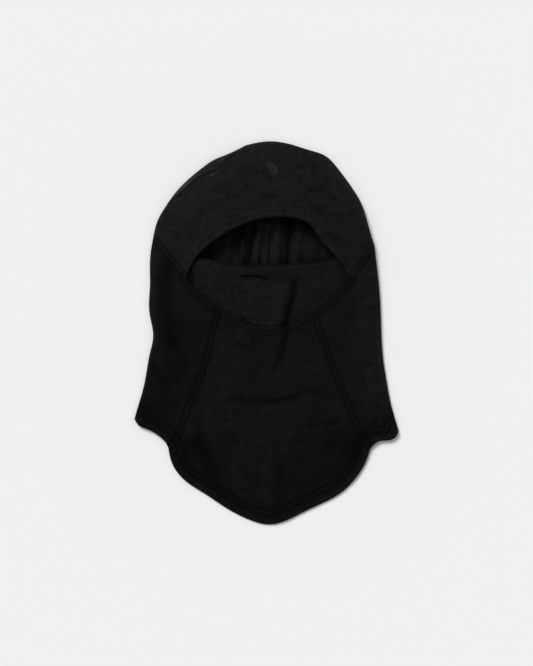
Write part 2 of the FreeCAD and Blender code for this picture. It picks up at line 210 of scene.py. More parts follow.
# Where the thicker cloth lies, as distances from its edge.
BROW_HEM = (-1.0, 13.0)
NECK_HEM = (-1.0, 16.5)
CHIN_HEM = (-8.5, 1.0)
COVER_HEM = 10.0
# The dome: where its level middle ends towards the crown and the bib, and how far it falls.
HALF_WIDTH = 122.0
CROWN_START, CROWN_RUN = 85.0, 118.0
BIB_START, BIB_RUN = -60.0, 110.0
TOP_HEIGHT, EDGE_HEIGHT, BIB_EDGE_HEIGHT = 30.0, 5.2, 3.0
DOME_POWER = 2.5
DOME_SOFTNESS = 0.05    # rounds the line where the dome meets the level edge
LOW_START, LOW_RUN = -108.0, 32.0   # where the edge sinks towards the tip of the bib


def dome(xy):
    """Outer face of the smooth front layer, as in the CAD model."""
    x, y = xy[:, 0], xy[:, 1]
    along = np.where(y > CROWN_START, (y - CROWN_START) / CROWN_RUN,
                     np.where(y < BIB_START, (BIB_START - y) / BIB_RUN, 0.0))
    swell = 1.0 - np.hypot(x / HALF_WIDTH, along) ** DOME_POWER
    swell = (swell + np.sqrt(swell * swell + DOME_SOFTNESS ** 2)) / 2.0
    sunk = ease((LOW_START - y) / LOW_RUN)
    edge = EDGE_HEIGHT + (BIB_EDGE_HEIGHT - EDGE_HEIGHT) * sunk
    return edge + (TOP_HEIGHT - edge) * swell


# Creases: path, half width, depth (negative is a ridge), and the share of the
# depth that stands up as a lip on the left (+) or right (-) of the path.
FRONT_CREASES = [
    # across the bib
    ([(-46, -71), (-30, -72), (4, -73), (23, -71), (42, -66), (63, -60)], 3.6, 2.6, -0.4),
    ([(-50, -45), (-30, -50), (-8, -48)], 6.0, 1.0, 0.4),
    ([(-36, -11), (-28, -12), (-18, -11)], 3.5, 1.4, 0.3),
    ([(-50, -26), (-44, -27), (-37, -26)], 3.0, 1.0, 0.3),
    ([(-22, -39), (-16, -40), (-8, -39)], 3.0, 0.8, 0.3),
    ([(55, -93), (48, -99), (42, -105)], 3.6, 1.8, 0.3),
    ([(80, -91), (72, -96), (62, -102)], 3.6, 2.2, 0.3),
    # hollows either side of the bib
    ([(-72, -84), (-70, -100), (-69, -118)], 4.5, 2.2, 0.0),
    ([(-74, -104), (-68, -118), (-62, -132), (-66, -146)], 11.0, 4.8, 0.0),
    ([(62, -112), (76, -118), (88, -124), (96, -132)], 10.0, 4.0, 0.0),
    # press fold down the middle of the bib
    ([(5, -112), (5.5, -140), (5.5, -170), (5, -203)], 6.0, -3.6, 0.0),
    # left side panel
    ([(-100, 84), (-104, 60), (-104, 30), (-102, 0), (-98, -24)], 9.5, 4.4, 0.0),
    ([(-84, 24), (-90, 0), (-92, -30)], 9.0, 1.8, 0.0),
    ([(-104, 6), (-95, -11), (-87, -26), (-78, -42)], 4.4, 2.8, 0.4),
    ([(-124, -30), (-115, -40), (-106, -52), (-95, -64)], 3.4, 3.0, 0.6),
    # right side panel
    ([(98, 40), (94, 15), (88, -8), (85, -30)], 9.0, 2.4, 0.0),
    ([(112, -20), (105, -46), (101, -70)], 7.0, 1.6, 0.0),
    # brow
    ([(-9, 144), (0, 142.5), (11, 143.5)], 2.0, 1.6, 0.7),
    ([(38, 150), (52, 149), (66, 145), (77, 132)], 2.8, 1.7, 0.5),
    ([(59, 109), (69, 101), (80, 92)], 2.6, 1.9, 0.5),
    ([(38, 186), (41, 178), (42, 168)], 2.6, 1.2, 0.5),
    ([(60, 160), (67, 156), (74, 150)], 3.6, 1.2, 0.3),
    ([(50, 133), (58, 128), (64, 120)], 3.0, 1.1, 0.3),
    ([(-54, 160), (-48, 152), (-42, 144)], 4.0, 1.2, 0.3),
    ([(-90, 92), (-78, 108), (-60, 124)], 8.0, 0.9, 0.0),
    ([(-82, 146), (-74, 136), (-70, 124)], 4.0, -1.0, 0.0),
]
PINCH = [(-34, 56), (-25, 59), (-14, 60), (-4, 58), (5, 53.5)]
COVER_CREASES = [
    # down the right edge of the breathing patch
    ([(30.5, 61), (29.5, 52), (28, 38), (25, 26), (22, 14), (21, 4), (20, -8)], 4.4, 4.4, -0.1),
    # small pinch near the top of the breathing patch
    (PINCH, 1.1, 1.8, -0.9),
]
# The same crease going on over the bib, shallow enough for the cover to slide under it.
CHIN_CREASE = ([(24, 22), (21, 8), (21, -1), (19, -10), (16.5, -20), (13, -30), (7, -43)],
               3.4, 1.6, -0.4)
# Pinch where the left back panel is caught in the crown seam.
CROWN_PINCH = ([(-52, 181), (-48, 176), (-46, 170)], 1.5, 2.2, -0.6)

BACK_PLEATS = [
    # the gusset stands up between two deep gaps
    ([(-6, 199), (-6.5, 118), (-11, 76), (-11, 20)], 3.4, -6.3, 0.0),
    ([(2, 190), (1.5, 120), (-1, 76), (-1, 20)], 3.2, -4.6, 0.0),
    ([(11.5, 199), (12, 118), (11, 76), (9, 20)], 4.6, -7.4, 0.0),
    # the cloth on the left of it
    ([(-22, 190), (-22, 118), (-26, 76), (-25, 20)], 3.6, -5.0, 0.0),
    ([(-33, 124), (-32, 100), (-32, 70), (-31, 30)], 2.2, -3.0, 0.0),
    ([(-44, 120), (-42, 100), (-42, 70), (-40, 30)], 5.0, -4.4, 0.0),
    ([(-58, 112), (-54, 92), (-52, 70), (-48, 40)], 6.0, -4.2, 0.0),
    ([(-74, 100), (-70, 84), (-66, 60)], 6.0, -2.6, 0.0),
    # the cloth on the right of it
    ([(36, 130), (35, 105), (32, 85), (32, 30)], 6.0, -5.6, 0.0),
    ([(50, 124), (50, 95), (50, 66)], 8.0, -3.6, 0.0),
    ([(64, 114), (64, 90), (64, 66)], 7.0, -2.6, 0.0),
]

# Painted shade and painted light, multiplied into the cloth's colour where creases, hollows and
# edges darken or light it: path, half width, and change of brightness.
COVER_PAINTED_SHADING = [
    ([(30.5, 63), (29.5, 52), (28, 38), (25, 26), (22, 14), (21, 4), (20, -10)], 4.6, -0.7),
    ([(28, 40), (24.5, 24), (21.5, 10), (21, -6)], 2.4, -0.6),
    (PINCH, 1.7, -0.8),
    ([(-25, 54), (-13, 55.5), (-3, 53.5)], 2.0, 0.6),
    ([(-8, 61.5), (8, 62.5), (27, 61.5)], 1.4, -0.35),
    ([(-18, 45), (-8, 46), (3, 44)], 5.0, -0.2),
    # painted shadow along the top edge of the cover
    ([(-100, 73), (-78, 77), (-65, 78.6), (-48, 74.2), (-20, 71.7), (0, 71.6), (30, 73.1),
      (56, 76.1), (76, 79.1), (105, 75.6)], 1.2, -0.95),
    ([(-52, 66), (-50, 50), (-44, 34)], 5.0, -0.12),
    # below the hem of the cover
    ([(-38, 59), (0, 58.5), (42, 60)], 3.0, -0.34),
    # around the breathing patch
    ([(-38, 60), (-37, 43), (-33, 27), (-22, 13), (0, 7)], 1.2, -0.3),
    ([(50, 52), (58, 44), (66, 52)], 14.0, -0.1),
    # in the shadow of the left end of the brow hem
    ([(-73, 78), (-78, 70), (-79.5, 60), (-78, 51), (-72, 45)], 2.4, -0.8),
]
# Painted shade in the creases, hollows and folds of the front layer, and painted light on its lit
# slopes, rims and the crescent at the crown.
FRONT_PAINTED_SHADING = [
    # the crease over the chin seam and the crease across the bib
    ([(23, 22), (21, 8), (21, -1), (19, -9), (17, -18)], 3.6, -0.85),
    ([(21, -2), (19, -10), (16.5, -20), (13, -30), (7, -44)], 4.6, -0.52),
    ([(-50, -71), (-30, -72), (4, -73), (23, -71), (42, -66), (66, -59)], 6.0, -0.2),
    ([(-36, -72.5), (4, -73), (23, -71), (40, -67)], 3.2, -0.45),
    # small hollows of the bib
    ([(-38, -11), (-28, -12), (-16, -11)], 4.0, -0.3),
    ([(-52, -26), (-44, -27), (-36, -26)], 3.0, -0.2),
    ([(-24, -39), (-16, -40), (-6, -39)], 3.0, -0.2),
    ([(-30, 0), (-20, -4), (-8, -7)], 4.0, -0.15),
    ([(80, -91), (72, -96), (62, -102)], 3.8, -0.35),
    ([(56, -93), (48, -99), (41, -105)], 3.4, -0.3),
    ([(26, -104), (32, -112), (36, -120)], 5.0, -0.12),
    # hollows at both lower corners of the bib
    ([(-72, -82), (-71, -100), (-70, -120)], 5.0, -0.4),
    ([(-82, -106), (-72, -120), (-60, -136), (-72, -150)], 15.0, -0.78),
    ([(-104, -126), (-90, -153), (-66, -170), (-41, -186)], 14.0, -0.18),
    ([(-84, -92), (-78, -108), (-66, -124)], 7.0, -0.25),
    ([(54, -112), (76, -118), (88, -124), (100, -136)], 11.0, -0.35),
    ([(60, -96), (50, -130), (30, -172)], 26.0, -0.14),
    ([(-38, -112), (-32, -146), (-14, -178)], 11.0, 0.1),
    # both sides of the press fold
    ([(14, -128), (15, -150), (14, -180), (12, -196)], 8.0, -0.28),
    ([(-3, -128), (-3, -150), (-3, -180)], 4.0, 0.2),
    # left side panel
    ([(-101, 82), (-105, 60), (-105, 30), (-102, 0), (-97, -25)], 11.0, -0.55),
    ([(-84, 26), (-96, -20), (-104, -60), (-114, -96)], 24.0, -0.46),
    ([(-90, -22), (-84, -32), (-79, -42)], 8.0, -0.22),
    ([(-124, -26), (-114, -46), (-106, -56), (-97, -64)], 5.0, -0.4),
    ([(-138, -88), (-126, -98), (-112, -106)], 14.0, -0.15),
    ([(-104, 6), (-95, -11), (-87, -26), (-78, -42)], 5.0, -0.3),
    ([(-118, 92), (-119, 50), (-119, 10), (-116, -20)], 5.0, 0.35),
    ([(-42, 18), (-25, 8), (-6, 1)], 7.0, 0.25),
    # right side panel
    ([(104, 78), (110, 20), (112, -30), (120, -80)], 14.0, 0.42),
    ([(110, 92), (101, 78), (91, 62)], 10.0, 0.2),
    ([(60, 182), (84, 157), (104, 122)], 10.0, 0.15),
    ([(94, 30), (90, 5), (86, -20)], 9.0, -0.12),
    # brow
    ([(-104, 120), (-92, 140), (-72, 160), (-48, 178)], 12.0, 0.2),
    ([(-106, 137), (-93, 150), (-79, 162.5), (-71, 168)], 3.6, 1.0),
    ([(-71, 169), (-63, 172.5), (-52, 178)], 3.2, 0.1),
    ([(-66, 165.5), (-57, 168), (-49, 172.5), (-45, 177)], 1.2, 1.3),
    ([(-51, 178), (-48, 183), (-43, 187.5)], 1.1, 0.7),
    ([(-109, 131), (-98, 142), (-85, 153.5), (-73, 164), (-60, 170), (-50, 175)], 1.1, -0.75),
    ([(-49, 176), (-45, 181.5), (-38, 187), (-28, 193)], 1.2, -0.55),
    ([(56, 113), (67, 103), (78, 94), (85, 88)], 4.4, -0.38),
    ([(66, 124), (78, 116), (90, 102)], 6.0, -0.12),
    ([(38, 150), (52, 149), (66, 145), (78, 131)], 3.0, -0.2),
    ([(-14, 144), (0, 142.5), (13, 143.5)], 2.2, -0.22),
    ([(-58, 160), (-48, 152), (-40, 143)], 5.0, -0.12),
    ([(60, 161), (67, 156), (75, 149)], 4.0, -0.14),
    ([(50, 134), (58, 128), (65, 119)], 3.4, -0.14),
    ([(-74, 146), (-73, 134), (-70, 122)], 4.0, 0.14),
    ([(26, 168), (30, 154), (34, 142)], 6.0, 0.1),
]
# Painted shade and painted light inside the back layer: shadows of the cover and the face opening,
# dark gaps beside the gusset, and lit tops of the pleats.
BACK_PAINTED_SHADING = [
    # in the shadow of the mouth cover and of the face opening
    ([(-79, 79.5), (-65, 80.8), (-48, 76.6), (-20, 74), (0, 73.9), (30, 75.5), (56, 78.6),
      (76, 81.5)], 2.2, -0.4),
    ([(-78, 68), (-66, 85), (-48, 99), (-27, 110.5), (-8, 117), (13, 119.5), (33, 117.5),
      (44, 112), (52, 101), (61, 90), (72, 78), (80, 67)], 2.0, -0.5),
    # the gaps either side of the gusset
    ([(-11, 130), (-12.5, 117), (-15.5, 95), (-18, 80), (-19.5, 60)], 2.0, -0.92),
    ([(23, 140), (24, 115), (22.5, 95), (22, 75), (22, 60)], 3.2, -0.92),
    ([(27, 125), (27, 112), (25, 100)], 3.5, -0.6),
    # thin lines between pleats
    ([(3.5, 130), (3.5, 100), (3, 70)], 1.0, -0.1),
    ([(-21, 115), (-21.5, 95), (-22, 72)], 1.2, -0.35),
    ([(-30, 118), (-30, 100), (-29, 70)], 0.9, -0.35),
    ([(-34, 118), (-34, 100), (-33.5, 70)], 0.9, -0.3),
    # the tops of the pleats
    ([(-23.5, 108), (-24, 92), (-24.5, 78)], 2.6, 0.42),
    ([(-9, 114), (-10, 92), (-12, 78)], 3.5, 0.22),
    ([(12, 116), (12, 95), (11, 78)], 4.5, 0.2),
    ([(-5, 114), (-6, 95), (-8, 76)], 1.5, 0.6),
    ([(16, 114), (15.5, 95), (15, 78)], 1.8, 0.5),
    ([(-60, 82), (-47, 80), (-39, 78)], 5.0, 0.45),
    ([(33, 98), (33, 88), (33, 80)], 4.0, 0.1),
    ([(40, 106), (38.5, 94), (37.5, 78)], 2.2, 0.5),
    # light that reaches in under the brow
    ([(-70, 81), (-61, 90), (-48, 97.5), (-32, 105)], 6.0, 0.6),
    ([(-14, 108), (-3, 112), (12, 113.5), (18, 112)], 4.0, 0.7),
    # deeper shade towards the right corner of the face opening
    ([(34, 112), (45, 106), (54, 97)], 6.0, -0.45),
    ([(40, 92), (50, 86), (64, 82)], 12.0, -0.3),
]


CREASE_STEP = 2.0       # spacing of points along a crease
CREASE_REACH = 5.0      # half widths from its path within which a crease counts
FADE_SHARE, FADE_MOST = 0.35, 14.0      # length over which each end of a crease fades
LIP_PLACE, LIP_WIDTH = 2.2, 1.5         # of a crease's lip, in half widths


def crease(xy, path, width, depth, lip):
    """How far one crease moves the cloth up or down."""
    line = spline(path, CREASE_STEP)
    reach = width * CREASE_REACH
    near = np.all((xy > line.min(0) - reach) & (xy < line.max(0) + reach), axis=1)
    found = np.zeros(len(xy))
    if not near.any():
        return found
    signed, along = measure(xy[near], line)
    total = np.hypot(*np.diff(line, axis=0).T).sum()
    fade = min(FADE_SHARE * total, FADE_MOST)
    shape = -depth * bump(signed, width)
    if lip:
        beyond = signed - math.copysign(LIP_PLACE * width, lip)
        shape += abs(lip) * depth * bump(beyond, LIP_WIDTH * width)
    found[near] = shape * ease(along / fade) * ease((total - along) / fade)
    return found


# A seam: its line, a raised band from low to high beside the line, the rows of stitches,
# the depth of the groove on the line, the height of the band, how much darker the stitched
# rows are (painted shade in their grooves), and how much darker the whole band is.
Seam = namedtuple("Seam", "line low high rows groove raised dark band")
GROOVE_WIDTH = 0.55
ROW_DIP, ROW_WIDTH = 0.5, 0.65          # of the dent along a row of stitches
ROW_SHADE_WIDTH = 1.3                   # half width of the painted shade along it
BAND_RISE, BAND_FADE = 1.4, 2.0         # width over which the band rises, and darkens
# Puckers across a seam: length of each wave, its share, and where it starts.
PUCKER_WAVES = ((6.3, 1.0, 0.0), (9.7, 0.7, 1.3))
PUCKER_PAST = 2.0                       # how far past the band they go
SEAM_REACH, SHADE_REACH = 8.0, 4.0      # how far past its band a seam has any effect


def near_seam(xy, made, margin):
    """Which points a seam can have an effect on."""
    reach = max(abs(made.low), abs(made.high)) + margin
    return np.all((xy > made.line.min(0) - reach) & (xy < made.line.max(0) + reach), axis=1)


def seam(xy, made, pucker):
    """The relief of a seam: its raised band, a groove on its line, a dip along each row of
    stitches, and puckers across it."""
    found = np.zeros(len(xy))
    near = near_seam(xy, made, SEAM_REACH)
    if not near.any():
        return found
    signed, along = measure(xy[near], made.line)
    shape = made.raised * band(signed, made.low, made.high, BAND_RISE)
    shape -= made.groove * bump(signed, GROOVE_WIDTH)
    for row in made.rows:
        shape -= ROW_DIP * bump(signed - row, ROW_WIDTH)
    wave = sum(share * np.sin(2 * math.pi * along / length + start)
               for length, share, start in PUCKER_WAVES)
    middle, half_width = (made.low + made.high) / 2.0, (made.high - made.low) / 2.0
    found[near] = shape + pucker * wave * bump(signed - middle, half_width + PUCKER_PAST)
    return found


def seam_shade(xy, made):
    """How light the cloth is over a seam, with painted shade along its rows of stitches."""
    found = np.ones(len(xy))
    near = near_seam(xy, made, SHADE_REACH)
    if near.any():
        signed = measure(xy[near], made.line)[0]
        found[near] *= 1.0 - made.band * band(signed, made.low, made.high, BAND_FADE)
        for row in made.rows:
            found[near] *= 1.0 - made.dark * bump(signed - row, ROW_SHADE_WIDTH)
    return found


def shade_of(xy, patches, seams):
    """The painted shade and light of the cloth, from patches of painted shading and from seams."""
    found = np.ones(len(xy))
    for path, width, change in patches:
        found *= 1.0 + crease(xy, path, width, -change, 0.0)
    for made in seams:
        found *= seam_shade(xy, made)
    return found


# Painted shade at edges: how much darker or lighter an edge is, how far in its middle lies, and its
# half width.
EDGE_SHADE = (-0.15, 0.0, 1.1)          # painted shade on the rolled edge of the face opening
CHIN_SHADE = (-0.45, 0.0, 1.2)          # painted shadow along the edge of the side panels and bib over the cover
UNDER_CHIN_SHADOW = (-0.3, 1.3, 1.3)           # painted shadow on the cover beside that edge
PAINTED_RIM_LIGHT = (0.38, 1.5, 4.0)           # painted highlight on the rims of the folds at the sides and crown
# How light the front is at distances from the neck edge: painted light on the rounded edge,
# painted shade along its two rows of stitches, and darker over the whole hem inwards.
NECK_TONE = ([0, 3, 5, 7, 9, 12, 16, 18, 21, 30],
             [1.15, 1.05, 0.86, 0.8, 0.62, 0.64, 0.52, 0.62, 0.76, 1.0])
# Distances of the twin rows of stitches from the line of their seam or hem.
TWIN = (-2.75, 2.75)
CHIN_PAIR = (-0.9, -6.4)
BROW_PAIR = (6.0, 11.5)
NECK_PAIR = (9.3, 15.3)
BACK_PAIR = (8.0, 13.5)
OVERLOCK = (-2.75, -0.9, 0.9, 2.75)
CROWN_ROW, COVER_ROW, VENT_ROW = -1.5, -8.5, 1.5    # single rows
CHIN = run("chin_left", "chin_middle", "chin_right")
NECK = run("side_hem_left", "bib_hem", "side_hem_right")
BACK_NECK = run("back_hem_left", "back_hem_middle", "back_hem_right")
GUSSET_LEFT = run("gusset_left_top", "gusset_left_low")
GUSSET_RIGHT = run("gusset_right_top", "gusset_right_low")
FRONT_SEAMS = [
    Seam(LINES["crown_seam_left"], -3.4, 1.0, (CROWN_ROW,), 0.5, 0.4, 0.1, 0.0),
    Seam(LINES["brow_seam_left"], -3.6, 3.6, TWIN, 0.45, 0.25, 0.46, 0.18),
    Seam(LINES["brow_seam_right"], -3.6, 3.6, TWIN, 0.45, 0.25, 0.46, 0.18),
    Seam(LINES["bib_left"], -3.8, 3.8, TWIN, 0.35, 0.2, 0.78, 0.2),
    Seam(LINES["bib_right"], -3.8, 3.8, TWIN, 0.35, 0.2, 0.6, 0.15),
    Seam(CHIN, -7.8, 0.5, CHIN_PAIR, 0.0, 0.35, 0.54, 0.1),
    Seam(LINES["face_edge"], -0.5, 13.0, BROW_PAIR, 0.0, 0.45, -0.05, -0.12),
    Seam(NECK, -0.5, 16.8, NECK_PAIR, 0.0, 0.6, 0.8, 0.0),
    Seam(LINES["crown_right"], -3.0, 0.5, (CROWN_ROW,), 0.0, 0.3, 0.2, 0.0),
]
COVER_SEAMS = [
    Seam(LINES["cover_edge"], -10.0, 0.5, (COVER_ROW,), 0.0, 0.4, 0.0, 0.0),
]
BACK_SEAMS = [
    Seam(GUSSET_LEFT, -3.8, 3.8, OVERLOCK, 0.0, 0.5, 0.3, 0.0),
    Seam(GUSSET_RIGHT, -3.8, 3.8, TWIN, 0.3, 0.5, 0.3, 0.0),
    Seam(LINES["yoke_left"], -3.8, 3.8, TWIN, 0.3, 0.4, 0.5, 0.1),
    Seam(LINES["yoke_right"], -3.8, 3.8, TWIN, 0.3, 0.4, 0.5, 0.1),
    Seam(BACK_NECK, -0.5, 15.0, BACK_PAIR, 0.0, 0.6, 0.4, 0.0),
]
FOLD_LINE = np.concatenate([
    LINES["side_left"][::-1],
    *[LINES[name][1:] for name in (
        "crown_left_low", "crown_left_high", "crown_top", "crown_right", "side_right")]])
FOLD_MID = 2.6          # height of the fold between the front and back layers
FOLD_ROUND = 3.8        # how far in from the fold the cloth starts to turn
FRONT_CALM, BACK_CALM = 24.0, 20.0      # how far in from the fold the cloth is smoother
FOLD_CREASES = 0.2      # share of a crease's depth that reaches the fold
# Unevenness between the creases: height, then width, length and seed of the ripple.
FRONT_RIPPLES = ((0.8, 46.0, 60.0, 3.1), (0.3, 17.0, 17.0, 8.4))
BACK_RIPPLE = (0.5, 14.0, 50.0, 5.2)
PUCKER, COVER_PUCKER = 0.12, 0.06       # height of the puckers across a seam


def fold_distance(xy):
    """Distance in from the side and crown folds."""
    return np.abs(measure(xy, FOLD_LINE)[0])


def roll(xy, line, drop):
    """How far a free edge has turned down, for cloth of a given thickness."""
    inward = 1.0 - np.clip(np.abs(measure(xy, line)[0]) / drop, 0.0, 1.0)
    return drop * (1.0 - np.sqrt(1.0 - inward * inward))


def turned(xy, z):
    """Cloth of height z, rounded down to the fold."""
    turn = 1.0 - np.clip(fold_distance(xy) / FOLD_ROUND, 0.0, 1.0)
    return FOLD_MID + (z - FOLD_MID) * np.sqrt(1.0 - turn * turn)


def creases(xy, table):
    """How far all creases of a table move the cloth."""
    return sum(crease(xy, *item) for item in table)


def relief(xy, seams, pucker=PUCKER):
    """How far all seams of a list raise the cloth."""
    return sum(seam(xy, made, pucker) for made in seams)


def front_shape(xy):
    """The front layer with its creases, before seams and edges."""
    calm = ease(fold_distance(xy) / FRONT_CALM)
    z = dome(xy) + creases(xy, FRONT_CREASES) * (FOLD_CREASES + (1.0 - FOLD_CREASES) * calm)
    return z + sum(height * ripple(xy, *size) for height, *size in FRONT_RIPPLES) * calm


def front_height(xy):
    """Outer face of the front layer."""
    z = front_shape(xy) + creases(xy, [CROWN_PINCH, CHIN_CREASE]) + relief(xy, FRONT_SEAMS)
    for edge, drop in ((LINES["face_edge"], HEM_CLOTH), (CHIN, SEAM_CLOTH), (NECK, HEM_CLOTH)):
        z -= roll(xy, edge, drop)
    return turned(xy, z)


def cover_height(xy):
    """Outer face of the mouth cover."""
    z = front_shape(xy) - COVER_DROP + creases(xy, COVER_CREASES)
    z += relief(xy, COVER_SEAMS, COVER_PUCKER)
    return z - roll(xy, LINES["cover_edge"], COVER_HEM_CLOTH)


def back_height(xy):
    """Outer (lower) face of the back layer."""
    calm = ease(fold_distance(xy) / BACK_CALM)
    height, *size = BACK_RIPPLE
    pleats = creases(xy, BACK_PLEATS) + height * np.abs(ripple(xy, *size))
    return turned(xy, np.maximum(pleats, 0.0) * calm)


def front_thickness(xy):
    """One layer, and more where a hem or a seam allowance lies under it."""
    hem = np.maximum(band(measure(xy, LINES["face_edge"])[0], *BROW_HEM),
                     band(measure(xy, NECK)[0], *NECK_HEM))
    allowance = band(measure(xy, CHIN)[0], *CHIN_HEM)
    return CLOTH + np.maximum((HEM_CLOTH - CLOTH) * hem, (SEAM_CLOTH - CLOTH) * allowance)


def cover_thickness(xy):
    """One layer, and more along the top hem."""
    inwards = -measure(xy, LINES["cover_edge"])[0]
    return CLOTH + (COVER_HEM_CLOTH - CLOTH) * band(inwards, -math.inf, COVER_HEM)


def back_thickness(xy):
    """The seams of the back stand up on its inner face."""
    return np.maximum(CLOTH + relief(xy, BACK_SEAMS), THINNEST)


def back_top(xy):
    """Inner face of the back layer, which shows through the face opening."""
    return back_height(xy) + back_thickness(xy)


def edge_tone(xy, line, change, place, width):
    """Painted shade along an edge, as a factor on the cloth's colour; a positive change paints
    light.
    """
    return 1.0 + change * bump(measure(xy, line)[0] - place, width)


def front_shade(xy):
    """The painted shade and light of the front layer, as a factor on its plain colour."""
    shade = shade_of(xy, FRONT_PAINTED_SHADING, FRONT_SEAMS)
    shade *= edge_tone(xy, LINES["face_edge"], *EDGE_SHADE)
    shade *= edge_tone(xy, CHIN, *CHIN_SHADE)
    shade *= 1.0 + PAINTED_RIM_LIGHT[0] * bump(fold_distance(xy) - PAINTED_RIM_LIGHT[1], PAINTED_RIM_LIGHT[2])
    return shade * np.interp(measure(xy, NECK)[0], *NECK_TONE)


def cover_shade(xy):
    """The same for the mouth cover and its breathing patch."""
    return shade_of(xy, COVER_PAINTED_SHADING, COVER_SEAMS) * edge_tone(xy, CHIN, *UNDER_CHIN_SHADOW)


def back_shade(xy):
    """The same for the back layer."""
    return shade_of(xy, BACK_PAINTED_SHADING, BACK_SEAMS)


# ---------------------------------------------------------------- outlines and meshes

GRID = 1.9              # spacing of mesh points in plain cloth
ROW_GAP = 0.26          # nearest that two points of the finer rows may be
ROW_MARGIN = 0.07       # nearest that they may be to the outline
GRID_GAP, GRID_MARGIN = 0.62 * GRID, 0.45 * GRID    # the same for the points of the grid
BAND_STEPS = (-0.5, 0.5)                # finer rows beside each edge of a seam's band,
STITCH_STEPS = (-1.1, -0.5, 0.0, 0.5, 1.1)          # beside each row of its stitches,
GROOVE_STEPS = (-0.9, -0.4, 0.4, 0.9)   # and beside its groove
EDGE_SHARES = (0.04, 0.14, 0.3, 0.5, 0.75, 1.05)    # finer rows in along a turned edge
LOOP_SLACK = 0.2        # how much nearer than it should be a point of a row beside may be
ON_LINE = 0.05          # a row nearer than this to its line is left out
CELL = 2.0              # size of the cells in which neighbours are looked for
FLAT = 1e-7             # twice the area of a triangle that counts as none
TOUCHING = 1e-5         # points nearer than this are one point
FOLD_DECIMALS = 3       # to which the points of two layers agree along their fold


def beside(line, distance):
    """A line beside another, distance to the left, without the loops of tight corners."""
    along = np.gradient(line, axis=0)
    along /= np.hypot(along[:, 0], along[:, 1])[:, None]
    moved = line + np.stack([-along[:, 1], along[:, 0]], axis=1) * distance
    return moved[np.abs(measure(moved, line)[0]) > abs(distance) - LOOP_SLACK]


def inside(xy, loop):
    """Which points are inside a closed outline."""
    found = np.zeros(len(xy), bool)
    a, b = loop, np.roll(loop, -1, axis=0)
    for (ax, ay), (bx, by) in zip(a, b):
        if ay == by:
            continue
        crosses = (ay > xy[:, 1]) != (by > xy[:, 1])
        found ^= crosses & (xy[:, 0] < (bx - ax) * (xy[:, 1] - ay) / (by - ay) + ax)
    return found


def seam_rows(seams):
    """Points of the finer rows that carry the relief of seams."""
    rows = []
    for made in seams:
        offsets = [edge + step for edge in (made.low, made.high) for step in BAND_STEPS]
        offsets += [row + step for row in made.rows for step in STITCH_STEPS]
        if made.groove:
            offsets += GROOVE_STEPS
        rows += [beside(made.line, offset) for offset in offsets if abs(offset) > ON_LINE]
    return rows


def edge_rows(line, reach):
    """Points of the finer rows that carry a turned edge, on both sides of it."""
    return [beside(line, side * share * reach) for share in EDGE_SHARES for side in (1, -1)]


def lattice(loop, pitch, rise=0.0, indent=0.0):
    """Points in staggered rows over a closed outline. The first row starts rise of the way
    between two rows up, and indent of the pitch in."""
    (left, low), (right, high) = loop.min(0), loop.max(0)
    between_rows = pitch * math.sqrt(3) / 2
    rows = []
    for j, y in enumerate(np.arange(low + between_rows * rise, high, between_rows)):
        x = np.arange(left + pitch * (indent + 0.5 * (j % 2)), right, pitch)
        rows.append(np.stack([x, np.full(len(x), y)], axis=1))
    return np.concatenate(rows)


def well_inside(xy, loop, margin):
    """The points that are inside a closed outline and clear of it by a margin."""
    low, high = loop.min(0), loop.max(0)
    xy = xy[np.all((xy > low) & (xy < high), axis=1)]
    xy = xy[inside(xy, loop)]
    return xy[np.abs(measure(xy, np.concatenate([loop, loop[:1]]))[0]) > margin]


def closed_ring(first, count):
    """The edges of a closed ring of points, numbered from the first."""
    return [(first + i, first + (i + 1) % count) for i in range(count)]


def triangulated(points, edges):
    """Points and triangles, all facing up, between the given points and edges."""
    found = delaunay_2d_cdt([Vector(p) for p in points], edges, [], 1, TOUCHING)
    xy = np.array([tuple(v) for v in found[0]])
    faces = np.array([f for f in found[2] if len(f) == 3])
    a, b, c = (xy[faces[:, i]] for i in range(3))
    turn = (b - a)[:, 0] * (c - a)[:, 1] - (b - a)[:, 1] * (c - a)[:, 0]
    faces[turn < 0] = faces[turn < 0][:, ::-1]
    return xy, faces[np.abs(turn) > FLAT]


def fill(loop, rows):
    """Points and triangles that fill a closed outline, with finer rows where given."""
    taken, points = {}, []

    def place(xy, gap):
        for x, y in xy:
            i, j = int(x / CELL), int(y / CELL)
            close = (
                q for m in (i - 1, i, i + 1) for n in (j - 1, j, j + 1)
                for q in taken.get((m, n), ()))
            if all((x - u) ** 2 + (y - v) ** 2 > gap * gap for u, v in close):
                taken.setdefault((i, j), []).append((x, y))
                points.append((x, y))

    place(loop, 0.0)
    if rows:
        place(well_inside(np.concatenate(rows), loop, ROW_MARGIN), ROW_GAP)
    place(well_inside(lattice(loop, GRID, rise=0.5, indent=0.25), loop, GRID_MARGIN), GRID_GAP)
    return triangulated(points, closed_ring(0, len(loop)))


def point_normals(points, faces):
    """The direction that the cloth faces at each point."""
    a, b, c = (points[faces[:, i]] for i in range(3))
    flat = np.cross(b - a, c - a)
    normals = np.zeros_like(points)
    for i in range(3):
        np.add.at(normals, faces[:, i], flat)
    return normals / np.maximum(np.linalg.norm(normals, axis=1), 1e-12)[:, None]


def cloth(name, *layers):
    """One piece of cloth as a closed mesh. Each layer is an outline, the height of its
    outer face, its thickness, its shade, the finer rows, and whether its outer face looks
    down. Layers that share a fold are joined along it."""
    points, faces, thickness, shade, count = [], [], [], [], 0
    for loop, height, thick, tone, rows, down in layers:
        xy, triangles = fill(loop, rows)
        points.append(np.column_stack([xy, height(xy)]))
        thickness.append(thick(xy))
        shade.append(tone(xy))
        faces.append((triangles[:, ::-1] if down else triangles) + count)
        count += len(xy)
    points, faces = np.concatenate(points), np.concatenate(faces)
    thickness, shade = np.concatenate(thickness), np.concatenate(shade)
    _, first, same = np.unique(
        np.round(points, FOLD_DECIMALS), axis=0, return_index=True, return_inverse=True)
    faces = same.reshape(-1)[faces]
    return shell(name, points[first], faces, thickness[first], shade[first])


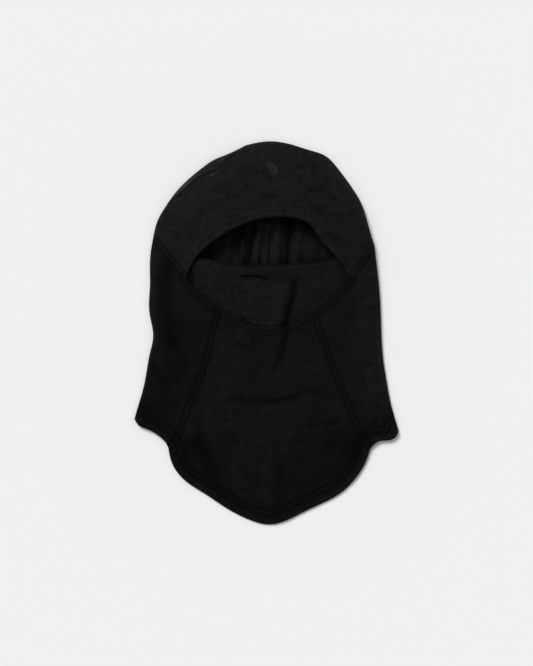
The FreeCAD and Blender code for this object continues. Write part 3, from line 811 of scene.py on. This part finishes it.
def shell(name, points, faces, thickness, shade):
    """A closed mesh from the outer face of a piece of cloth and its thickness."""
    inner = points - point_normals(points, faces) * thickness[:, None]
    edges = np.concatenate([faces[:, [0, 1]], faces[:, [1, 2]], faces[:, [2, 0]]])
    _, where, uses = np.unique(
        np.sort(edges, axis=1), axis=0, return_index=True, return_counts=True)
    rim = edges[where[uses == 1]]
    n = len(points)
    triangles = np.concatenate([
        faces, faces[:, ::-1] + n,
        np.column_stack([rim[:, 1], rim[:, 0], rim[:, 0] + n]),
        np.column_stack([rim[:, 1], rim[:, 0] + n, rim[:, 1] + n])])
    made = mesh_object(name, np.concatenate([points, inner]), triangles.tolist())
    tones = made.data.attributes.new("shade", "FLOAT", "POINT")
    tones.data.foreach_set("value", np.concatenate([shade, shade]).astype(np.float32))
    return made


def mesh_object(name, points, faces):
    """A smooth mesh object from points in millimetres."""
    mesh = bpy.data.meshes.new(name)
    mesh.from_pydata((points * MM).tolist(), [], faces)
    mesh.polygons.foreach_set("use_smooth", [True] * len(mesh.polygons))
    mesh.update()
    found = bpy.data.objects.new(name, mesh)
    bpy.context.scene.collection.objects.link(found)
    return found


# ---------------------------------------------------------------- threads

STITCH = 3.0            # length of one stitch with its gap
STITCH_GAP = 0.6
SHORTEST_STITCH = 1.5   # one that a tight corner squeezes below this is left out
FIRST_STITCH = 0.4      # how far along a row its first stitch starts
THREAD_RADIUS = 0.28
VENT_THREAD_RADIUS = 0.18
ROD_SIDES = 6
ROD_SHARE = np.array([0.0, 0.18, 0.5, 0.82, 1.0])   # rings along one thread
ROD_SIZE = np.array([0.35, 0.85, 1.0, 0.85, 0.35])
ROD_LIFT = np.array([-1.0, 0.3, 0.8, 0.3, -1.0])    # in radii: both ends dip into the cloth
FLATTENED = 0.8         # height of a thread, as a share of its width


def circle(count):
    """Points round a circle of radius 1."""
    turn = np.arange(count) * 2 * math.pi / count
    return np.stack([np.cos(turn), np.sin(turn)], axis=1)


def at(line, along):
    """Points at given distances along a line."""
    step = np.hypot(*np.diff(line, axis=0).T)
    total = np.concatenate([[0.0], np.cumsum(step)])
    return np.column_stack([np.interp(along, total, line[:, i]) for i in (0, 1)])


def rods(paths, top, radius=THREAD_RADIUS):
    """Points and faces of threads: each path becomes an arched rod lying on top."""
    rings, sides = len(ROD_SHARE), ROD_SIDES
    heights = top(np.concatenate(paths)).reshape(-1, rings)
    section = circle(sides)[None, :, :, None]
    points, faces = [], []
    for count, (xy, height) in enumerate(zip(paths, heights)):
        along = xy[-1] - xy[0]
        along = along / math.hypot(*along)
        side = np.array([-along[1], along[0], 0.0])
        centre = np.column_stack([xy, height + ROD_LIFT * radius])
        round_it = section[:, :, 0] * side + section[:, :, 1] * (0.0, 0.0, FLATTENED)
        loops = centre[:, None, :] + radius * ROD_SIZE[:, None, None] * round_it
        points.append(loops.reshape(-1, 3))
        base = count * rings * sides
        for low in range(base, base + (rings - 1) * sides, sides):
            faces += [(a, b, b + sides, a + sides) for a, b in closed_ring(low, sides)]
        faces.append(tuple(range(base + sides - 1, base - 1, -1)))
        faces.append(tuple(range(base + (rings - 1) * sides, base + rings * sides)))
    return np.concatenate(points), faces


def sewn(rows, keep):
    """The paths of the stitches along rows, where keep lets them be."""
    paths = []
    for line in rows:
        total = np.hypot(*np.diff(line, axis=0).T).sum()
        start = np.arange(FIRST_STITCH, total - STITCH, STITCH)
        ends = start + STITCH - STITCH_GAP
        wanted = keep(at(line, (start + ends) / 2.0))
        for low, high in zip(start[wanted], ends[wanted]):
            xy = at(line, low + (high - low) * ROD_SHARE)
            if math.hypot(*(xy[-1] - xy[0])) > SHORTEST_STITCH:
                paths.append(xy)
    return paths


# ---------------------------------------------------------------- materials


class Nodes:
    """A short way to write a material's node tree."""

    def __init__(self, name):
        self.material = bpy.data.materials.new(name)
        self.material.use_nodes = True
        self.tree = self.material.node_tree
        self.shader = self.tree.nodes["Principled BSDF"]

    def add(self, kind, inputs=(), **settings):
        node = self.tree.nodes.new(kind)
        for key, value in settings.items():
            setattr(node, key, value)
        for key, value in dict(inputs).items():
            if isinstance(value, bpy.types.NodeSocket):
                self.tree.links.new(value, node.inputs[key])
            else:
                node.inputs[key].default_value = value
        return node

    def math(self, operation, *values):
        return self.add("ShaderNodeMath", enumerate(values), operation=operation).outputs[0]

    def scaled(self, colour, share):
        return self.add("ShaderNodeVectorMath", {0: colour, "Scale": share},
                        operation="SCALE").outputs[0]

    def bump(self, height, strength, distance, **normal):
        return self.add("ShaderNodeBump", {
            "Height": height, "Strength": strength, "Distance": distance, **normal}).outputs[0]

    def ramp(self, tone, *stops):
        """A colour for each tone, from two pairs of a position and a level of grey."""
        made = self.add("ShaderNodeValToRGB", {"Fac": tone})
        for element, (position, level) in zip(made.color_ramp.elements, stops):
            element.position, element.color = position, grey(level)
        return made.outputs[0]

    def finish(self, **sockets):
        """Links or sets the shader's sockets, named with _ for a space."""
        for name, value in sockets.items():
            socket = self.shader.inputs[name.replace("_", " ")]
            if isinstance(value, bpy.types.NodeSocket):
                self.tree.links.new(value, socket)
            else:
                socket.default_value = value
        return self.material


def grey(level):
    """A neutral colour."""
    return (level, level, level, 1.0)


WALE = 0.0009           # width of one column of knitted loops, in metres
COURSE = 0.0007         # height of one row of loops
LEAN = 1.5              # how steeply the two legs of a loop slant
GROOVE_POWER = 5.0      # how narrow the groove between two columns is
VALLEY = 7.0            # how fast the two legs of a loop rise from its middle


def knit(n, turn=0.0):
    """Height of the loops of plain jersey, 0 to 1, and the coordinates it uses."""
    place = n.add("ShaderNodeTexCoord").outputs["Object"]
    turned = n.add("ShaderNodeMapping", {"Vector": place, "Rotation": (0.0, 0.0, turn)})
    axes = n.add("ShaderNodeSeparateXYZ", {"Vector": turned.outputs[0]}).outputs
    across = n.math("FRACT", n.math("DIVIDE", axes[0], WALE))
    side = n.math("ABSOLUTE", n.math("SUBTRACT", across, 0.5))
    slant = n.math("ADD", n.math("DIVIDE", axes[1], COURSE), n.math("MULTIPLY", side, LEAN))
    loop = n.math("SINE", n.math("MULTIPLY", n.math("FRACT", slant), math.pi))
    groove = n.math("SUBTRACT", 1.0, n.math("POWER", n.math("MULTIPLY", side, 2.0), GROOVE_POWER))
    valley = n.math("MINIMUM", 1.0, n.math("MULTIPLY", side, VALLEY))
    return n.math("MULTIPLY", n.math("MULTIPLY", loop, groove), valley), turned.outputs[0]


MOTTLE = 0.5            # how far the dye is from even
DARKEST, PALEST = 0.46, 0.74            # sums of the noises that give its two ends


def jersey(name, level, turn=0.0):
    """Fine dyed merino jersey: knitted loops, uneven dye, a little fuzz."""
    n = Nodes(name)
    height, place = knit(n, turn)
    stretched = n.add("ShaderNodeMapping", {"Vector": place, "Scale": (60.0, 420.0, 60.0)})

    def cloud(vector, scale, detail):
        return n.add("ShaderNodeTexNoise", {
            "Vector": vector, "Scale": scale, "Detail": detail}).outputs[0]

    fine = cloud(place, 520.0, 3.0)
    uneven = (
        (fine, 0.35), (cloud(place, 150.0, 3.0), 0.35), (cloud(place, 34.0, 4.0), 0.2),
        (cloud(stretched.outputs[0], 1.0, 2.0), 0.2))
    tone = n.math("MULTIPLY", height, 0.12)
    for unevenness, share in uneven:
        tone = n.math("ADD", tone, n.math("MULTIPLY", unevenness, share))
    dye = n.ramp(tone, (DARKEST, level * (1.0 - MOTTLE)), (PALEST, level * (1.0 + MOTTLE)))
    # The shade attribute is painted shade and light, multiplied into the dye.
    shade = n.add("ShaderNodeAttribute", attribute_name="shade").outputs["Fac"]
    loops = n.bump(height, 0.5, 0.0002)
    return n.finish(
        Base_Color=n.scaled(dye, shade),
        Roughness=n.math("ADD", 0.86, n.math("MULTIPLY", fine, 0.12)),
        Normal=n.bump(fine, 0.45, 0.0005, Normal=loops),
        Specular_IOR_Level=0.06,
        Sheen_Weight=0.02,
        Sheen_Roughness=0.5,
        Sheen_Tint=grey(0.6))


# The badge's thread is dark at its lower left, and lightens between these distances along
# a slanting direction.
BADGE_SLANT = (0.8, 0.6, 0.0)
BADGE_FALL = (0.1034, 0.1084)
BADGE_DARK = 0.25


def thread(name, level, badge=False):
    """Twisted polyester thread."""
    n = Nodes(name)
    place = n.add("ShaderNodeTexCoord").outputs["Object"]
    twist = n.add("ShaderNodeTexWave", {
        "Vector": place, "Scale": 900.0, "Distortion": 1.5, "Detail": 1.0},
        bands_direction="DIAGONAL").outputs["Fac"]
    colour = n.ramp(twist, (0.0, level * 0.6), (1.0, level * 1.3))
    if badge:
        along = n.add("ShaderNodeVectorMath", {0: place, 1: BADGE_SLANT},
                      operation="DOT_PRODUCT").outputs["Value"]
        light = n.add("ShaderNodeMapRange", {
            "Value": along, "From Min": BADGE_FALL[0], "From Max": BADGE_FALL[1],
            "To Min": BADGE_DARK}).outputs["Result"]
        colour = n.scaled(colour, light)
    return n.finish(
        Base_Color=colour,
        Roughness=n.math("ADD", 0.75, n.math("MULTIPLY", twist, 0.2)),
        Normal=n.bump(twist, 0.4, 0.0001),
        Specular_IOR_Level=0.1)


# Each look's level of grey, and how far the knit is turned from upright. The jersey is one
# cloth: its levels differ by panel as painted light and shade, lighter on the brow and inside
# the back, darker on the bib and the left side.
LOOKS = {f"jersey_{name}": jersey(f"jersey_{name}", level, turn) for name, level, turn in (
    ("brow", 0.0063, 0.0), ("bib", 0.0042, 0.0), ("side_left", 0.0036, 0.12),
    ("side_right", 0.0045, -0.12), ("back", 0.0072, 0.0), ("gusset", 0.0078, 0.0),
    ("cover", 0.0058, 0.0))}
LOOKS["vent_mesh"] = jersey("vent_mesh", 0.0061)
LOOKS["thread"] = thread("thread", 0.0018)
# the same thread, painted lighter where the cloth around it carries painted light
LOOKS["thread_light"] = thread("thread_light", 0.0054)
LOOKS["badge_satin"] = thread("badge_satin", 0.018, badge=True)


def dress(piece, slot, *nodes, look=None):
    """Gives a piece its material and hides the CAD nodes that it stands for."""
    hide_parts(*nodes)
    piece.data.materials.append(LOOKS[look or slot])
    return piece


def worn(piece, slot, *nodes, look=None):
    """A piece of the hood itself."""
    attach(piece, "hood")
    return dress(piece, slot, *nodes, look=look)


# ---------------------------------------------------------------- the panels

FRONT_ROWS = (
    seam_rows(FRONT_SEAMS) + edge_rows(FOLD_LINE, FOLD_ROUND)
    + edge_rows(LINES["face_edge"], HEM_CLOTH) + edge_rows(NECK, HEM_CLOTH)
    + edge_rows(CHIN, SEAM_CLOTH))
BACK_ROWS = seam_rows(BACK_SEAMS) + edge_rows(FOLD_LINE, FOLD_ROUND)
PINCH_STEPS = np.arange(-4.5, 4.6, 0.6)
COVER_ROWS = (
    seam_rows(COVER_SEAMS) + edge_rows(LINES["cover_edge"], COVER_HEM_CLOTH)
    + [beside(spline(PINCH), offset) for offset in PINCH_STEPS])


def front(*edges):
    """A layer of the front inside the given edges."""
    return ring(*edges), front_height, front_thickness, front_shade, FRONT_ROWS, False


def back(*edges):
    """A layer of the back inside the given edges."""
    return ring(*edges), back_height, back_thickness, back_shade, BACK_ROWS, True


PANELS = {
    "brow_cloth": (
        "jersey_brow", ["brow_panel", "brow_hem"],
        [front("crown_left_low", "crown_seam_left", "crown_top", "crown_right",
               "brow_seam_right", "face_edge", "brow_seam_left")]),
    "bib_cloth": (
        "jersey_bib", ["bib_panel", "bib_hem"],
        [front("chin_middle", "bib_right", "bib_hem", "bib_left")]),
    "back_cloth_left": (
        "jersey_back", ["hood_back_left"],
        [back("crown_left_low", "crown_left_high", "gusset_left_top", "yoke_left"),
         front("crown_left_high", "crown_seam_left")]),
    "back_cloth_right": (
        "jersey_back", ["hood_back_right"],
        [back("crown_right", "gusset_right_top", "yoke_right")]),
    "gusset_cloth": (
        "jersey_gusset", ["crown_gusset", "back_hem"],
        [back("crown_top", "gusset_left_top", "gusset_left_low", "back_hem_middle",
              "gusset_right_low", "gusset_right_top")]),
}
for side in ("left", "right"):
    PANELS[f"side_cloth_{side}"] = (
        f"jersey_side_{side}", [f"side_panel_{side}", f"side_hem_{side}"],
        [front(f"brow_seam_{side}", f"chin_{side}", f"bib_{side}", f"side_hem_{side}",
               f"side_{side}"),
         back(f"yoke_{side}", f"gusset_{side}_low", f"back_hem_{side}", f"side_{side}")])
pieces = {name: worn(cloth(name, *layers), slot, *nodes)
          for name, (slot, nodes, layers) in PANELS.items()}


# ---------------------------------------------------------------- the mouth cover

# The middle of the cover slides down behind the bib. Its two ends stay sewn in the seams.
COVER_LOOP = ring("cover_edge", "cover_tuck")


def pulled(piece, side, slot, *nodes, look=None):
    """A piece of one half of the mouth cover, with its transform baked in and its material given.
    side is -1 for the left half and 1 for the right; it is not used."""
    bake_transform(piece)
    return dress(piece, slot, *nodes, look=look)


def half(loop, side):
    """The part of a closed outline on one side of x = 0, with points down the cut."""
    kept = loop[:, 0] * side > 0
    first = np.flatnonzero(kept & ~np.roll(kept, 1))[0]
    loop, kept = np.roll(loop, -first, axis=0), np.roll(kept, -first)
    last = np.flatnonzero(kept)[-1]

    def crossing(a, b):
        return a + (b - a) * a[0] / (a[0] - b[0])

    entry, leaving = crossing(loop[-1], loop[0]), crossing(loop[last], loop[last + 1])
    steps = int(abs(entry[1] - leaving[1]) / GRID)
    down = leaving + (entry - leaving) * np.linspace(0.0, 1.0, steps + 1)[:, None]
    return np.concatenate([loop[:last + 1], down])


def sharpen_cut(piece):
    """Marks the cut between the two halves as sharp, so that the wall of the cut doesn't
    show in the shading of the cloth beside it."""
    mesh = piece.data
    on_cut = [abs(vertex.co.x) < 1e-7 for vertex in mesh.vertices]
    mesh.edges.foreach_set(
        "use_edge_sharp", [on_cut[edge.vertices[0]] and on_cut[edge.vertices[1]]
                           for edge in mesh.edges])


HALVES = (("left", -1), ("right", 1))
for side, sign in HALVES:
    layer = (half(COVER_LOOP, sign), cover_height, cover_thickness, cover_shade,
             COVER_ROWS, False)
    name = f"cover_cloth_{side}"
    pieces[name] = cloth(name, layer)
    sharpen_cut(pieces[name])
    pulled(pieces[name], sign, "jersey_cover", "mouth_cover_panel", "mouth_cover_hem")
    PANELS[name] = ("jersey_cover", [], [layer])


HOLE_PITCH, HOLE_RADIUS = 3.6, 0.42
HOLE_SIDES = 8
VENT_GRID = 1.1         # spacing of the mesh points between the holes
HOLE_MARGIN = 4.0       # plain rim around the holes
VENT_CLOTH = 0.5
VENT_GAP = 0.05         # between the patch and the cover under it
BESIDE_HOLE = HOLE_RADIUS + 0.4 * VENT_GRID     # nearest that a plain point is to a centre
IN_HOLE = 0.9 * HOLE_RADIUS             # a triangle whose middle is nearer is in the hole
VENT_LOOP = ring("vent_top", "vent_sides")


def vent_height(xy):
    """Outer face of the breathing patch."""
    return cover_height(xy) + VENT_CLOTH + VENT_GAP


def perforated(loop):
    """Points and triangles that fill an outline but for staggered rows of round holes."""
    centres = well_inside(lattice(loop, HOLE_PITCH), loop, HOLE_MARGIN)
    plain = well_inside(lattice(loop, VENT_GRID), loop, 0.5 * VENT_GRID)

    def to_hole(xy):
        return np.hypot(*(xy[:, None, :] - centres[None]).transpose(2, 0, 1)).min(axis=1)

    plain = plain[to_hole(plain) > BESIDE_HOLE]
    holes = (centres[:, None, :] + HOLE_RADIUS * circle(HOLE_SIDES)).reshape(-1, 2)
    edges = closed_ring(0, len(loop))
    for first in range(len(loop), len(loop) + len(holes), HOLE_SIDES):
        edges += closed_ring(first, HOLE_SIDES)
    xy, faces = triangulated(np.concatenate([loop, holes, plain]), edges)
    return xy, faces[to_hole(xy[faces].mean(axis=1)) > IN_HOLE]


vent_xy, vent_faces = perforated(VENT_LOOP)
vent = shell("vent_cloth", np.column_stack([vent_xy, vent_height(vent_xy)]), vent_faces,
             np.full(len(vent_xy), VENT_CLOTH), cover_shade(vent_xy))
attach(vent, "mouth_cover")
pieces["vent_cloth"] = dress(vent, "vent_mesh", "vent_patch")
PANELS["vent_cloth"] = ("vent_mesh", [], [(VENT_LOOP,)])


# ---------------------------------------------------------------- the stitching

OUTLINE = ring("side_left", "side_hem_left", "bib_hem", "side_hem_right", "side_right",
               "crown_right", "crown_top", "crown_left_high", "crown_left_low")
CHIN_ZONE = (CHIN, -8.2, 1.2)
BROW_ZONE = (LINES["face_edge"], -1.0, 13.6)
NECK_ZONE = (NECK, -1.0, 16.8)
BACK_ZONE = (BACK_NECK, -1.0, 15.2)
FRONT_ZONES = [CHIN_ZONE, BROW_ZONE, NECK_ZONE]
SEAM_ZONES = [(LINES[f"brow_seam_{side}"], -4.0, 4.0) for side in ("left", "right")]
GUSSET_ZONES = [(GUSSET_LEFT, -4.0, 4.0), (GUSSET_RIGHT, -4.0, 4.0)]
STITCH_MARGIN = 3.0     # stitches end this far from the folds


def clear_of(*zones):
    """A test for where stitches may be: inside the folds and outside each band beside a
    line, so that the rows of one seam stop short of the next."""

    def keep(xy):
        wanted = inside(xy, OUTLINE) & (fold_distance(xy) > STITCH_MARGIN)
        for line, low, high in zones:
            signed = measure(xy, line)[0]
            wanted &= (signed < low) | (signed > high)
        return wanted

    return keep


def pair(line, distances=TWIN):
    """Rows of stitches beside a line."""
    return [(line, distance) for distance in distances]


SEWING = {
    "brow_hem_stitching": (
        "brow_cloth", front_height, pair(LINES["face_edge"], BROW_PAIR), [CHIN_ZONE]),
    "crown_seam_stitching": (
        "brow_cloth", front_height,
        [(LINES[name], CROWN_ROW)
         for name in ("crown_seam_left", "crown_top", "crown_right")],
        SEAM_ZONES),
    "neck_hem_stitching": ("bib_cloth", front_height, pair(NECK, NECK_PAIR), []),
    "chin_seam_stitching": ("bib_cloth", front_height, pair(CHIN, CHIN_PAIR), []),
    "back_hem_stitching": ("gusset_cloth", back_top, pair(BACK_NECK, BACK_PAIR), []),
}
for side, line in (("left", GUSSET_LEFT), ("right", GUSSET_RIGHT)):
    SEWING[f"brow_seam_stitching_{side}"] = (
        "brow_cloth", front_height, pair(LINES[f"brow_seam_{side}"]), FRONT_ZONES)
    SEWING[f"bib_seam_stitching_{side}"] = (
        "bib_cloth", front_height, pair(LINES[f"bib_{side}"]), FRONT_ZONES)
    SEWING[f"gusset_seam_stitching_{side}"] = (
        "gusset_cloth", back_top, pair(line), [BACK_ZONE])
    SEWING[f"yoke_seam_stitching_{side}"] = (
        f"back_cloth_{side}", back_top, pair(LINES[f"yoke_{side}"]), GUSSET_ZONES)
LIGHT_THREAD = {"brow_hem_stitching": "thread_light", "crown_seam_stitching": "thread_light"}
on_cloth = {name: [] for name in pieces}
for node, (panel, top, rows, zones) in SEWING.items():
    lines = [beside(line, distance) for line, distance in rows]
    threads = mesh_object(
        node.replace("stitching", "threads"), *rods(sewn(lines, clear_of(*zones)), top))
    on_cloth[panel].append(worn(threads, "thread", node, look=LIGHT_THREAD.get(node)))

cover_row = beside(LINES["cover_edge"], COVER_ROW)
for side, sign in HALVES:
    threads = mesh_object(
        f"cover_hem_threads_{side}",
        *rods(sewn([cover_row], lambda xy, sign=sign: xy[:, 0] * sign > 0), cover_height))
    on_cloth[f"cover_cloth_{side}"].append(
        pulled(threads, sign, "thread", "mouth_cover_hem_stitching", look="thread_light"))

vent_rows = [beside(LINES["vent_top"], -VENT_ROW), beside(LINES["vent_sides"], VENT_ROW)]
threads = mesh_object(
    "vent_threads",
    *rods(sewn(vent_rows, lambda xy: inside(xy, VENT_LOOP)), vent_height, VENT_THREAD_RADIUS))
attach(threads, "mouth_cover")
on_cloth["vent_cloth"].append(dress(threads, "thread", "vent_patch_stitching"))


# ---------------------------------------------------------------- the badge

BADGE_CENTRE = np.array([4.0, 172.0])
BADGE_RADIUS = 8.0
BADGE_INSET = 0.3       # how far the padding stays in from the edge of the stitches
BADGE_BASE = 0.45       # height of the padding
BADGE_TILT = math.radians(25)
SATIN_PITCH, SATIN_RADIUS = 0.5, 0.3
SATIN_OVERLAP = 0.2     # how far the slanting rows reach under the border
BORDER = (6.4, 8.0)     # the satin border lies between these radii
BADGE_SIDES = 72


def badge_height(xy):
    """Outer face of the badge's padding."""
    return front_height(xy) + BADGE_BASE


def satin_stitches():
    """Paths of the threads: slanting rows in the middle, and a border pointing outwards."""
    across = np.array([math.cos(BADGE_TILT), math.sin(BADGE_TILT)])
    up = np.array([-across[1], across[0]])
    paths = []
    for offset in np.arange(SATIN_RADIUS - BORDER[0], BORDER[0], SATIN_PITCH):
        reach = math.sqrt(BORDER[0] ** 2 - offset ** 2) + SATIN_OVERLAP
        share = (ROD_SHARE * 2.0 - 1.0)[:, None]
        paths.append(BADGE_CENTRE + up * offset + across * reach * share)
    for angle in np.arange(0.0, 2 * math.pi, SATIN_PITCH / BORDER[1]):
        outwards = np.array([math.cos(angle), math.sin(angle)])
        share = (BORDER[0] + (BORDER[1] - BORDER[0]) * ROD_SHARE)[:, None]
        paths.append(BADGE_CENTRE + outwards * share)
    return paths


badge_xy, badge_faces = fill(
    BADGE_CENTRE + (BADGE_RADIUS - BADGE_INSET) * circle(BADGE_SIDES), [])
base = shell("badge_base", np.column_stack([badge_xy, badge_height(badge_xy)]), badge_faces,
             np.full(len(badge_xy), BADGE_BASE), np.ones(len(badge_xy)))
threads = mesh_object("badge_threads", *rods(satin_stitches(), badge_height, SATIN_RADIUS))
for piece in (base, threads):
    on_cloth["brow_cloth"].append(worn(piece, "badge_satin", "forehead_badge"))


# ---------------------------------------------------------------- stage

FLOOR_REACH = 6.0       # all of this section is in metres
FLOOR_GREY = 0.8
SKY_STRENGTH = 0.46
SUN_STRENGTH, SUN_SIZE = 2.7, math.radians(28)
SUN_DIRECTION = (-0.55, 0.75, 1.0)
LENS, SENSOR = 255.0, 36.0              # in millimetres; long, so the view is nearly flat
CAMERA_HEIGHT = 5.003


def placed(name, data, location=(0.0, 0.0, 0.0)):
    """An object of the stage."""
    found = bpy.data.objects.new(name, data)
    found.location = location
    bpy.context.scene.collection.objects.link(found)
    return found


corners = [(x * FLOOR_REACH, y * FLOOR_REACH, 0.0) for x, y in ((-1, -1), (1, -1), (1, 1), (-1, 1))]
floor_mesh = bpy.data.meshes.new("floor")
floor_mesh.from_pydata(corners, [], [(0, 1, 2, 3)])
floor_mesh.materials.append(Nodes("paper").finish(
    Base_Color=grey(FLOOR_GREY), Roughness=1.0, Specular_IOR_Level=0.0))
placed("floor", floor_mesh)

world = bpy.data.worlds.new("studio")
bpy.context.scene.world = world
world.use_nodes = True
sky = world.node_tree.nodes["Background"].inputs
sky["Color"].default_value = grey(1.0)
sky["Strength"].default_value = SKY_STRENGTH

sun = bpy.data.lights.new("window", "SUN")
sun.energy = SUN_STRENGTH
sun.angle = SUN_SIZE
window = placed("window", sun)
window.rotation_euler = Vector(SUN_DIRECTION).to_track_quat("Z", "Y").to_euler()

lens = bpy.data.cameras.new("camera")
lens.lens = LENS
lens.sensor_width = SENSOR
lens.clip_end = 4.0 * CAMERA_HEIGHT
bpy.context.scene.camera = placed("camera", lens, (0.0, 0.0, CAMERA_HEIGHT))
bpy.context.scene.view_settings.view_transform = "Standard"
